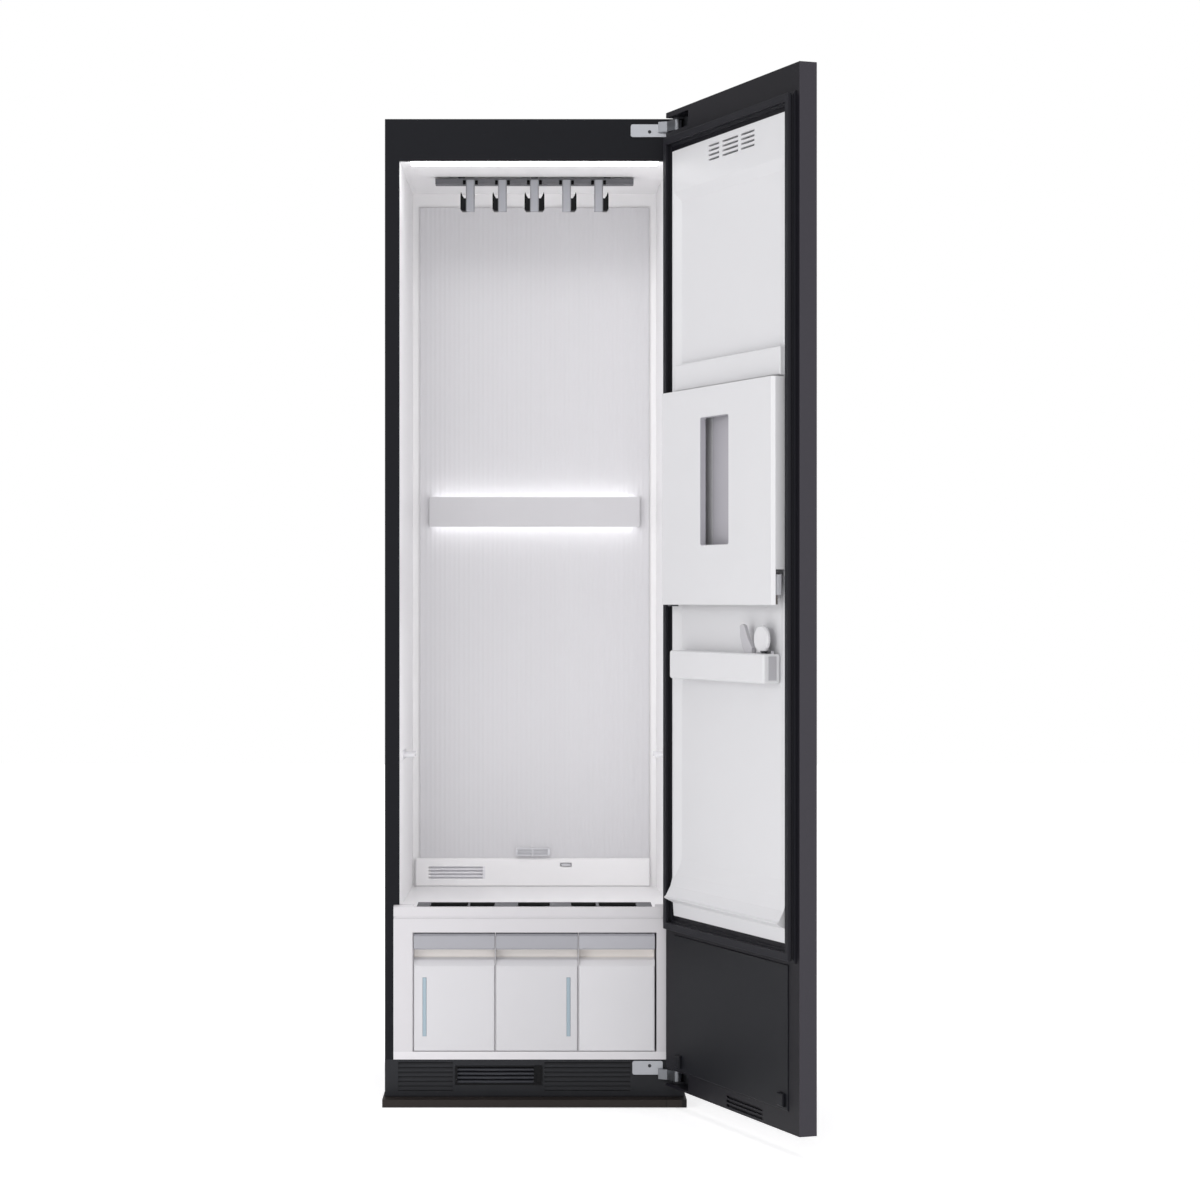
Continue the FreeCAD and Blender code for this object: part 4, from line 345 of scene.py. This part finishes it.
# Black ABS from a textured mould: matt, and a shade greyer than the paint above it.
black_abs = moulded("black_abs", "#1F2023", "#1B1C1F", roughness=0.5, grain_mm=0.8, bump=0.3, shine=0.25)
dress(black_abs, "levelling_feet")
# The grille is the same ABS. Its louvres are too fine to catch separate lights, so their shading is evened.
grille_black = moulded("black_grille_abs", "#222327", "#1E1F23", roughness=0.5, grain_mm=0.8, bump=0.3,
                       shine=0.25)
even_ribs(grille_black, 3)
dress(grille_black, "base_grille")
# Woven polyester screen: a flat mid grey behind the slots, whose 0.3 mm mesh is drawn at 0.9 mm.
screens = rounded_blocks("dust_screens", [LEFT_SCREEN, RIGHT_SCREEN], radius=0.0005)
screen_cloth = moulded("grey_polyester_screen", "#5A5B60", "#505156", roughness=0.8, grain_mm=0.9, bump=0.6,
                       shine=0.2)
screens.data.materials.append(screen_cloth)
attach(screens, "cabinet")
# The filter's case is near-black ABS, and its slats are moulded in a lighter grey.
filter_abs = moulded("dark_filter_abs", "#0E0E10", "#101012", roughness=0.5, grain_mm=0.8, bump=0.3,
                     shine=0.15)
tree = filter_abs.node_tree
tint(filter_abs, "#3A3B40", band(tree, "Y", *FILTER_SLATS[0]), band(tree, "Z", *FILTER_SLATS[1]))
dress(filter_abs, "base_filter")

# ---------------------------------------------------------------- front frame and lower door panel
# The frame round the opening and the panel at the door's foot are mouldings in the colour of the steel. The
# frame is pressed on to the wrapper's folded edge, and the panel clips into the door frame.

# ABS from a spark-eroded mould: the same near-black, but flatter than the powder coat beside it.
frame_abs = moulded("spark_eroded_abs", "#101116", "#121318", roughness=0.48, grain_mm=0.9, bump=0.4,
                    shine=0.15)
dress(frame_abs, "front_frame", "door_lower_panel")

# ---------------------------------------------------------------- garment cavity
# The walls are one vacuum-formed liner with shelf pegs on their plates. A ribbed panel closes the back, and a
# cover with a vent and a sensor stands at its foot. The steam outlet, the floor and its grille are moulded
# separately and clip in, and the bay for the tanks hangs below.

# Where the pegs lie in depth and in height, and the vent and the sensor across and in height.
SHADED_PEGS = ((0.1099, 0.2101), (0.6759, 0.6945))
VENT = ((-0.2225, -0.1055), (0.4020, 0.4285))
SENSOR = ((0.0555, 0.0795), (0.4282, 0.4358))
FLOOR_SLOT_SHADE = (0.3, 0.3845)
LIT_BAY_SILL = (0.07, 0.1036)

# Vacuum-formed ABS: satin white that passes the lamps' light on from wall to wall.
liner_abs = moulded("white_liner_abs", "#EFEEEF", "#EBEAEB", roughness=0.38, grain_mm=0.9, bump=0.15)
dress(liner_abs, "cavity_ceiling", "cavity_floor")
# The same sheet on the walls, with painted shade that greys the pegs and their plates.
wall_abs = moulded("white_wall_abs", "#EFEEEF", "#EBEAEB", roughness=0.38, grain_mm=0.9, bump=0.15)
tree = wall_abs.node_tree
tint(wall_abs, "#CDCCCF", band(tree, "Y", *SHADED_PEGS[0]), band(tree, "Z", *SHADED_PEGS[1]))
dress(wall_abs, "cavity_liner")
# The cover is white too, with light grey blades in its vent and a grey sensor bead.
rear_abs = moulded("white_rear_cover_abs", "#EFEEEF", "#EBEAEB", roughness=0.38, grain_mm=0.9, bump=0.15)
tree = rear_abs.node_tree
for colour, wide, high in (("#E0DFE3", *VENT), ("#C2C2C6", *SENSOR)):
    tint(rear_abs, colour, band(tree, "X", *wide), band(tree, "Z", *high))
dress(rear_abs, "lower_rear_cover")
# Extruded ABS panel: a quiet, slightly greyer white, whose fine ribs read as faint upright lines.
panel_abs = moulded("white_panel_abs", "#D1D0D3", "#CDCCCF", roughness=0.42, grain_mm=0.9, bump=0.15)
even_ribs(panel_abs, 4)
dress(panel_abs, "ribbed_back_panel")
# The light bar's cover is pale grey ABS, which stands out against its own glow.
cover_abs = moulded("white_light_cover_abs", "#C7C6C9", "#C3C2C5", roughness=0.42, grain_mm=0.9, bump=0.15)
dress(cover_abs, "wall_light_cover")
# The bay's frame is a warmer white ABS, with painted light along its sill.
bay_abs = moulded("white_bay_abs", "#CFCDD0", "#CBC9CC", roughness=0.42, grain_mm=0.9, bump=0.15)
tint(bay_abs, "#DAD8DB", band(bay_abs.node_tree, "Z", *LIT_BAY_SILL))
dress(bay_abs, "tank_bay_frame", "tank_bay_liner")
# The outlet is light grey ABS, and the slots between its bars go darker by depth alone.
outlet_abs = moulded("grey_outlet_abs", "#D3D3D7", "#CDCDD1", roughness=0.4, grain_mm=0.8, bump=0.2)
dress(outlet_abs, "steam_outlet")
# The floor grille is mid grey ABS, painted near black below its top face: painted shade in its open slots.
grille_abs = moulded("grey_floor_grille_abs", "#57585C", "#4F5054", roughness=0.5, grain_mm=0.8, bump=0.3,
                     shine=0.3)
tint(grille_abs, "#08080A", band(grille_abs.node_tree, "Z", *FLOOR_SLOT_SHADE))
dress(grille_abs, "floor_grille")

# ---------------------------------------------------------------- lights
# Frosted acrylic over white diodes: a strip along the ceiling's front edge, and a bar on the back panel that
# shines up and down past its cover. Moulded caps close the bar's ends, and dim panels in the mouth stand for
# the light that both throw back from the walls.

DIODE_PITCH = 0.012
END_CAP = ((0.2188, 0.4645, 1.1575), (0.2252, 0.4742, 1.2175))
# Each wash has its own height and the height it aims at, and each fill its height, length and power.
WASHES = (("wash_up", 1.224, 1.262), ("wash_down", 1.151, 1.113))
WASH_DEPTH, WASH_AIM = 0.452, 0.480
WASH_WIDE, WASH_TALL, WASH_POWER = 0.44, 0.012, 0.025
FILLS = (("cavity_fill_high", 1.5, 0.8, 0.52), ("cavity_fill_low", 0.68, 0.56, 0.56))
FILL_DEPTH, FILL_AIM, FILL_WIDE = 0.02, 0.4, 0.52


def lit_acrylic(name, strength):
    """Frosted acrylic lit from behind, whose glow g falls by 3 % and rises again once in each diode pitch p:
    g (0.985 + 0.015 sin(2 pi x / p))."""
    made = moulded(name, "#F4F6FA", "#EFF1F6", roughness=0.5, grain_mm=0.8, bump=0.2)
    tree = made.node_tree
    shader = tree.nodes["Principled BSDF"]
    where = add(tree, "ShaderNodeTexCoord").outputs["Object"]
    place = add(tree, "ShaderNodeSeparateXYZ", None, Vector=where).outputs["X"]
    turns = add(tree, "ShaderNodeMath", {"operation": "MULTIPLY", 1: 2 * math.pi / DIODE_PITCH}, _0=place)
    wave = add(tree, "ShaderNodeMath", {"operation": "SINE"}, _0=turns.outputs[0]).outputs[0]
    power = add(tree, "ShaderNodeMapRange", {1: -1.0, 2: 1.0, 3: strength * 0.97, 4: strength}, Value=wave)
    tree.links.new(power.outputs["Result"], shader.inputs["Emission Strength"])
    shader.inputs["Emission Color"].default_value = paint("#FFFFFF")
    return made


# The strip is the brightest thing in view, and the bar glows more softly round its cover.
dress(lit_acrylic("lit_ceiling_acrylic", strength=6.0), "ceiling_light")
dress(lit_acrylic("lit_wall_acrylic", strength=3.6), "wall_light_diffuser")
(inner, front, low), (outer, back, high) = END_CAP
caps = [((-outer, front, low), (-inner, back, high)), ((inner, front, low), (outer, back, high))]
end_caps = rounded_blocks("wall_light_end_caps", caps, radius=0.0012)
end_caps.data.materials.append(cover_abs)
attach(end_caps, "cabinet")
for name, foot, reach in WASHES:
    soft_box(name, (0.0, WASH_DEPTH, foot), (0.0, WASH_AIM, reach), WASH_WIDE, WASH_TALL, WASH_POWER)
for name, height, tall, power in FILLS:
    soft_box(name, (0.0, FILL_DEPTH, height), (0.0, FILL_AIM, height), FILL_WIDE, tall, power)

# ---------------------------------------------------------------- hanger rail and hooks
# The rail is a notched bar of glass-filled nylon on two posts through the ceiling. Five moulded hooks hang
# from it on pins, each between two rubber buffers that keep it from knocking on the rail.

HOOK_PITCH = 0.066
HOOK_BAR_HALF = 0.0091
HOOK_UNSHADED_HALF = 0.0068
BUFFER = (0.0096, 0.0151)
BUFFER_FRONT, BUFFER_BACK = 0.2330, 0.2385
BUFFER_LOW, BUFFER_HIGH = 1.8556, 1.8640

# Glass-filled nylon: a mid grey with little gloss and a faintly fibrous skin.
rail_nylon = moulded("grey_nylon", "#545458", "#4B4B4F", roughness=0.45, grain_mm=0.7, bump=0.3)
dress(rail_nylon, "hanger_rail")

# The hooks' bars are satin light grey nylon with painted shade along their edges, and their prongs are
# black. All five are one finish, whose masks read the distance from the nearest hook's middle as a share
# of the pitch.
hook_nylon = moulded("light_grey_nylon", "#97989D", "#8E8F94", roughness=0.35, grain_mm=0.7, bump=0.2,
                     shine=0.1)
tree = hook_nylon.node_tree
where = add(tree, "ShaderNodeTexCoord").outputs["Object"]
place = add(tree, "ShaderNodeSeparateXYZ", None, Vector=where).outputs["X"]
turns = add(tree, "ShaderNodeMath", {"operation": "MULTIPLY_ADD", 1: 1 / HOOK_PITCH, 2: 0.5}, _0=place)
within = add(tree, "ShaderNodeMath", {"operation": "FRACT"}, _0=turns.outputs[0])
centred = add(tree, "ShaderNodeMath", {"operation": "SUBTRACT", 1: 0.5}, _0=within.outputs[0])
away = add(tree, "ShaderNodeMath", {"operation": "ABSOLUTE"}, _0=centred.outputs[0]).outputs[0]
# 77777B is painted shade on each bar's edges, and #08080A is the prongs' own black.
for colour, half in (("#77777B", HOOK_UNSHADED_HALF), ("#08080A", HOOK_BAR_HALF)):
    beyond = add(tree, "ShaderNodeMath", {"operation": "GREATER_THAN", 1: half / HOOK_PITCH}, _0=away)
    tint(hook_nylon, colour, beyond.outputs[0])
for number in range(1, 6):
    dress(hook_nylon, f"hanger_hook_{number}")

middles = HOOK_PITCH * np.repeat(np.arange(-2, 3), 2)
starts = middles + np.tile((-BUFFER[1], BUFFER[0]), 5)
ends = middles + np.tile((-BUFFER[0], BUFFER[1]), 5)
blocks = [((a, BUFFER_FRONT, BUFFER_LOW), (b, BUFFER_BACK, BUFFER_HIGH)) for a, b in zip(starts, ends)]
buffers = rounded_blocks("hook_buffers", blocks, radius=0.0008)
# Moulded rubber: dead black, with no sheen at all.
buffer_rubber = moulded("black_buffer_rubber", "#101012", "#151517", roughness=0.75, grain_mm=0.6, bump=0.4,
                        shine=0.2)
buffers.data.materials.append(buffer_rubber)
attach(buffers, "hanger_rail")

# ---------------------------------------------------------------- shaker drive and machine room
# Above the ceiling a motor turns an eccentric pulley through a belt. Under the floor and behind the tanks are
# the compressor, the exchangers, the fan, the pumps and the control board's box. The covers hide them all but
# for what the louvres at the back let through.

# Natural nylon and unpainted ABS mouldings: warm off-white, slightly waxy.
drive_nylon = moulded("natural_nylon", "#B9B6AC", "#AFABA0", roughness=0.45, grain_mm=0.7, bump=0.3)
dress(drive_nylon, "eccentric_pulley", "motor_pulley", "fan_impeller", "fan_housing")
dress(drive_nylon, "water_pumps", "control_board_box")
# Stoved enamel on steel cans: glossy black.
motor_enamel = moulded("black_enamel", "#1B1C1E", "#232426", roughness=0.3, grain_mm=1.0, bump=0.2)
dress(motor_enamel, "shake_motor", "compressor")
# Moulded neoprene: dull black with a rough skin.
belt_rubber = moulded("black_rubber", "#17181A", "#1E1F21", roughness=0.7, grain_mm=0.6, bump=0.5)
dress(belt_rubber, "drive_belt")
# Mill-finish aluminium fins: bright, with level rolling lines.
coil_aluminium = metal("mill_aluminium", "#C9CCCE", "#B9BDC0", roughness=0.35, grain_mm=2.0,
                       squeeze=(1, 1, 12))
dress(coil_aluminium, "heat_exchangers")

# ---------------------------------------------------------------- tanks
# Two moulded tanks and a filter drawer slide on the floor of their bay. Each has a grip recess with a
# painted warm reflection below a grey lid, and the tanks have pale blue windows that show the level.
# Thin white dividers stand between them.

GRIP_REFLECTION = (0.2885, 0.3062)
GRIP_DEPTH = (0.004, 0.03)
DRAWER_LID = (0.3061, 0.34)
DIVIDERS = ((-0.2418, -0.2402), (-0.0784, -0.0770), (0.0863, 0.0877))
DIVIDER_FRONT, DIVIDER_BACK = 0.0025, 0.2
DIVIDER_LOW, DIVIDER_HIGH = 0.1044, 0.3396

# White ABS with a polished face: brighter and glossier than the bay round it, with a painted warm reflection
# in the grip's recess.
tank_abs = moulded("white_tank_abs", "#CFCED1", "#CAC9CC", roughness=0.3, grain_mm=1.0, bump=0.15)
# The drawer's copy is lighter: painted light where the open door shades it.
drawer_abs_painted_light = moulded("white_drawer_abs", "#D8D7DA", "#D3D2D5", roughness=0.3, grain_mm=1.0, bump=0.15)
# Painted warm reflection in each grip's recess.
for finish in (tank_abs, drawer_abs_painted_light):
    tree = finish.node_tree
    tint(finish, "#E4DFDB", band(tree, "Z", *GRIP_REFLECTION), band(tree, "Y", *GRIP_DEPTH))
tint(drawer_abs_painted_light, "#ACACB2", band(drawer_abs_painted_light.node_tree, "Z", *DRAWER_LID))
dress(tank_abs, "supply_tank", "drain_tank")
dress(drawer_abs_painted_light, "filter_drawer")
# Smoked ABS lids: an even cool grey with a soft reflection along the front.
lid_abs = moulded("smoked_lid_abs", "#A2A2A8", "#9C9CA2", roughness=0.25, grain_mm=1.0, bump=0.1)
dress(lid_abs, "supply_tank_lid", "drain_tank_lid")
# Tinted polystyrene: a pale blue-grey, cooler and glossier than the face round it.
window_blue = moulded("pale_blue_polystyrene", "#9FB0BA", "#95A7B2", roughness=0.2, grain_mm=1.0, bump=0.1)
dress(window_blue, "supply_level_window", "drain_level_window")

walls = [((a, DIVIDER_FRONT, DIVIDER_LOW), (b, DIVIDER_BACK, DIVIDER_HIGH)) for a, b in DIVIDERS]
dividers = rounded_blocks("bay_dividers", walls, radius=0.0004)
dividers.data.materials.append(bay_abs)
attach(dividers, "cabinet")

# ---------------------------------------------------------------- hinges
# Each hinge is a steel arm on a plate that a dark cross-head screw holds to the cabinet. Its pin turns in a
# steel bracket let into the door. The pins of the press plate's hinge have the brackets' finish.

SHADED_ARM_REACH = (-0.2, -0.0045)
SHADED_LOWER_HINGE = (0.0, 0.2)
HINGE_SCREWS = ((0.228, -0.003, 1.9262), (0.228, -0.003, 0.0765))
HINGE_SCREW = 0.0034

# Zinc plate: bright cool grey on the plates, with painted shade on the lower plate and on the arms, which
# turn away from the light.
hinge_steel = metal("zinc_plated_hinge_steel", "#BCBEC3", "#A0A2A7", roughness=0.38, grain_mm=1.5,
                    squeeze=(1, 1, 8))
tint(hinge_steel, "#A9ABB0", band(hinge_steel.node_tree, "Z", *SHADED_LOWER_HINGE))
tint(hinge_steel, "#77797D", band(hinge_steel.node_tree, "Y", *SHADED_ARM_REACH))
dress(hinge_steel, "hinge_arms")
# Phosphated steel: dull dark grey, so the brackets sink into the door.
bracket_steel = metal("phosphated_bracket_steel", "#5C5D61", "#45464A", roughness=0.36, grain_mm=1.5,
                      squeeze=(1, 1, 8))
dress(bracket_steel, "door_brackets", "press_hinge_pins")
hinge_screws = screw_heads("hinge_screws", HINGE_SCREWS, (0, -1, 0), HINGE_SCREW)
# Black passivated screws: one dark dot on each bright plate.
screw_black = metal("black_passivated_screws", "#4A4B4E", "#3C3D40", roughness=0.4, grain_mm=1.0,
                    squeeze=(1, 1, 1))
hinge_screws.data.materials.append(screw_black)
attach(hinge_screws, "cabinet")

# ---------------------------------------------------------------- door frame, skin and gasket
# An injected ABS frame sits inside a steel skin folded round the door's front, and both have a painted
# sheen along the free edge. A soft gasket is pushed into a groove round the frame.
# Places on the open door are
# (along from the hinge edge, out from the inner face, height).

DOOR_HINGE = np.array((0.2597534, -0.0217357, 0.0))
DOOR_AXES = np.array(((0.355107, -0.934826, 0.0), (-0.934826, -0.355107, 0.0), (0.0, 0.0, 1.0)))
DOOR_WIDE = 0.6
EDGE_SHEEN = 0.001


def past(tree, reach):
    """1 where a place on the door lies further from the hinge edge than the reach, else 0."""
    where = add(tree, "ShaderNodeTexCoord").outputs["Object"]
    along = add(tree, "ShaderNodeVectorMath", {"operation": "DOT_PRODUCT", 1: tuple(DOOR_AXES[0])}, _0=where)
    start = float(DOOR_AXES[0] @ DOOR_HINGE) + reach
    beyond = add(tree, "ShaderNodeMath", {"operation": "GREATER_THAN", 1: start}, _0=along.outputs["Value"])
    return beyond.outputs[0]


# Painted ABS: the near-black of the steel with the flat look of a textured moulding.
frame_coat = moulded("painted_door_abs", "#131217", "#15141A", roughness=0.48, grain_mm=0.9, bump=0.4,
                     shine=0.15)
dress(frame_coat, "door_frame")
# Powder coat as on the sides, with the same orange peel.
door_coat = moulded("powder_coated_door_steel", "#101116", "#121318", roughness=0.42, grain_mm=1.2, bump=0.35,
                    shine=0.15)
dress(door_coat, "door_outer_panel")
# Painted sheen on the free edge: it goes paler where the light from the right glances off it.
for coat in (frame_coat, door_coat):
    tint(coat, "#36343A", past(coat.node_tree, DOOR_WIDE - EDGE_SHEEN))
# Extruded soft PVC: black with a dull, slightly waxy bloom.
gasket_pvc = moulded("black_gasket_pvc", "#1A1A1F", "#1E1E23", roughness=0.55, grain_mm=0.6, bump=0.4,
                     shine=0.15)
dress(gasket_pvc, "door_gasket")

# ---------------------------------------------------------------- door liner and trouser press
# The liner is vacuum formed and clips into the frame. On it are the cover of the bar for trousers, the press
# plate on its pinned side hinge, and the hem bar with its sprung clip. The plate's sight window has a grey
# sleeve, and the pad behind it a grey pane.

# The window's ends along the door, then its foot and top.
WINDOW = (0.2388, 0.3677, 1.1020, 1.3444)
WINDOW_CORNER = 0.005
SLEEVE_WALL = 0.0008
SLEEVE_FIT = 0.0002
# The plate's two faces, out from the door, and the low and high corners of the pane and of a grey patch of
# painted shade on the hem bar's end.
PLATE = (0.0222, 0.0329)
PANE = ((0.2405, 0.0061, 1.0960), (0.3740, 0.0082, 1.3504))
HEM_END_SHADE = ((0.5197, 0.0075, 0.8535), (0.5204, 0.0235, 0.8970))
SHADED_PETAL = (0.9022, 0.96)
SPRING_FOOT = 0.478
SPRING_BARREL = (0.89, 0.9066)

# Satin white polypropylene: a soft, even white with a hint of grey and no sharp reflections.
door_pp = moulded("white_door_polypropylene", "#D4D4D6", "#D0D0D2", roughness=0.42, grain_mm=0.9, bump=0.2)
dress(door_pp, "door_liner", "trouser_bar_cover", "press_plate")
# The same on the hem bar, with painted shade on its fixed petal, which is turned away from the light.
hem_pp = moulded("white_hem_bar_polypropylene", "#D4D4D6", "#D0D0D2", roughness=0.42, grain_mm=0.9, bump=0.2)
tint(hem_pp, "#B2B1B5", band(hem_pp.node_tree, "Z", *SHADED_PETAL))
dress(hem_pp, "hem_bar")
# The same on the clip, with a dark grey barrel under the spring.
clip_pp = moulded("white_clip_polypropylene", "#D4D4D6", "#D0D0D2", roughness=0.42, grain_mm=0.9, bump=0.2)
tree = clip_pp.node_tree
tint(clip_pp, "#3C3C40", band(tree, "Z", *SPRING_BARREL), past(tree, SPRING_FOOT))
dress(clip_pp, "clip_lever")
hem_end_shade = rounded_blocks("hem_bar_end_painted_shade", [HEM_END_SHADE], radius=0.0003, origin=DOOR_HINGE, axes=DOOR_AXES)
# A thin patch of grey polypropylene on the bar's white end: painted shade where the end is hollow.
end_shade_pp = moulded("grey_hem_end_shade_polypropylene", "#B0AFB3", "#A9A8AC", roughness=0.5, grain_mm=0.9, bump=0.25)
hem_end_shade.data.materials.append(end_shade_pp)
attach(hem_end_shade, "door")

angle = np.radians(np.arange(40) * 9.0 + 4.5)
way = np.stack([np.cos(angle), np.sin(angle)], axis=-1)
reach = np.array((WINDOW[1] - WINDOW[0], WINDOW[3] - WINDOW[2])) / 2 - SLEEVE_FIT
middle = np.array((WINDOW[0] + WINDOW[1], WINDOW[2] + WINDOW[3])) / 2
rims = []
for inset, depth in ((0.0, PLATE[0]), (0.0, PLATE[1]), (SLEEVE_WALL, PLATE[1]), (SLEEVE_WALL, PLATE[0])):
    # A rounded rectangle: its corner circle's points, each pushed out to the corner's centre, less the inset.
    rim = middle + np.sign(way) * (reach - WINDOW_CORNER) + way * (WINDOW_CORNER - inset)
    rims.append(np.stack([rim[:, 0], 0 * angle + depth, rim[:, 1]], axis=-1))
rims.append(rims[0])
sleeve = sheets("sight_window_sleeve", (np.array(rims) @ DOOR_AXES + DOOR_HINGE)[None], ring=True)
# Grey polypropylene: it draws a soft grey line round the window's edge.
sleeve_pp = moulded("grey_sleeve_polypropylene", "#B2B1B7", "#ABAAB0", roughness=0.4, grain_mm=0.9, bump=0.2)
sleeve.data.materials.append(sleeve_pp)
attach(sleeve, "trouser_press")

pane = rounded_blocks("sight_pane", [PANE], radius=0.0009, origin=DOOR_HINGE, axes=DOOR_AXES)
# Tinted polystyrene: a flat, glossier grey deep in the window.
pane_grey = moulded("grey_pane_polystyrene", "#A7A5AB", "#A19FA5", roughness=0.25, grain_mm=1.5, bump=0.1)
pane.data.materials.append(pane_grey)
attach(pane, "door")

# ---------------------------------------------------------------- press latch and clip spring
# The latch is a moulded lever on a knuckle at the plate's free edge, with a dark cap and a brown foot. The
# hem clip is closed by a steel torsion spring of four turns round its barrel.

LATCH_CAP = (1.0455, 1.06)
LATCH_FOOT = (0.98, 1.0075)
SPRING_AT = (0.483, 0.0125, 0.9044)
SPRING_RADIUS, SPRING_WIRE, SPRING_LONG = 0.0031, 0.00035, 0.0125
SPRING_TURNS = 4

# Pale nylon: a cooler and glossier grey-white than the plate beside it.
latch_nylon = moulded("pale_latch_nylon", "#C3C4C8", "#BABBC0", roughness=0.35, grain_mm=0.7, bump=0.2)
tree = latch_nylon.node_tree
tint(latch_nylon, "#3A3A3D", band(tree, "Z", *LATCH_CAP))
tint(latch_nylon, "#6A625C", band(tree, "Z", *LATCH_FOOT))
dress(latch_nylon, "press_latch")

turn = np.linspace(0, 2 * math.pi * SPRING_TURNS, 24 * SPRING_TURNS + 1)[:, None]
ring = np.radians(np.arange(8) * 45.0)[None, :]
# At each turn angle a circle of the wire's radius stands on the helix, in the plane of axis and radius.
reach = SPRING_RADIUS + SPRING_WIRE * np.cos(ring)
along = SPRING_AT[0] + SPRING_LONG * turn / turn[-1] + SPRING_WIRE * np.sin(ring)
coil = np.stack([along, SPRING_AT[1] + reach * np.cos(turn), SPRING_AT[2] + reach * np.sin(turn)], axis=-1)
spring = sheets("hem_clip_spring", (coil @ DOOR_AXES + DOOR_HINGE)[None], ring=True, caps=True)
# Oiled spring steel: nearly black, with a thin bright line along each turn.
spring_steel = metal("oiled_spring_steel", "#2A2B2D", "#1E1F21", roughness=0.35, grain_mm=0.8,
                     squeeze=(1, 1, 1))
spring.data.materials.append(spring_steel)
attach(spring, "door")
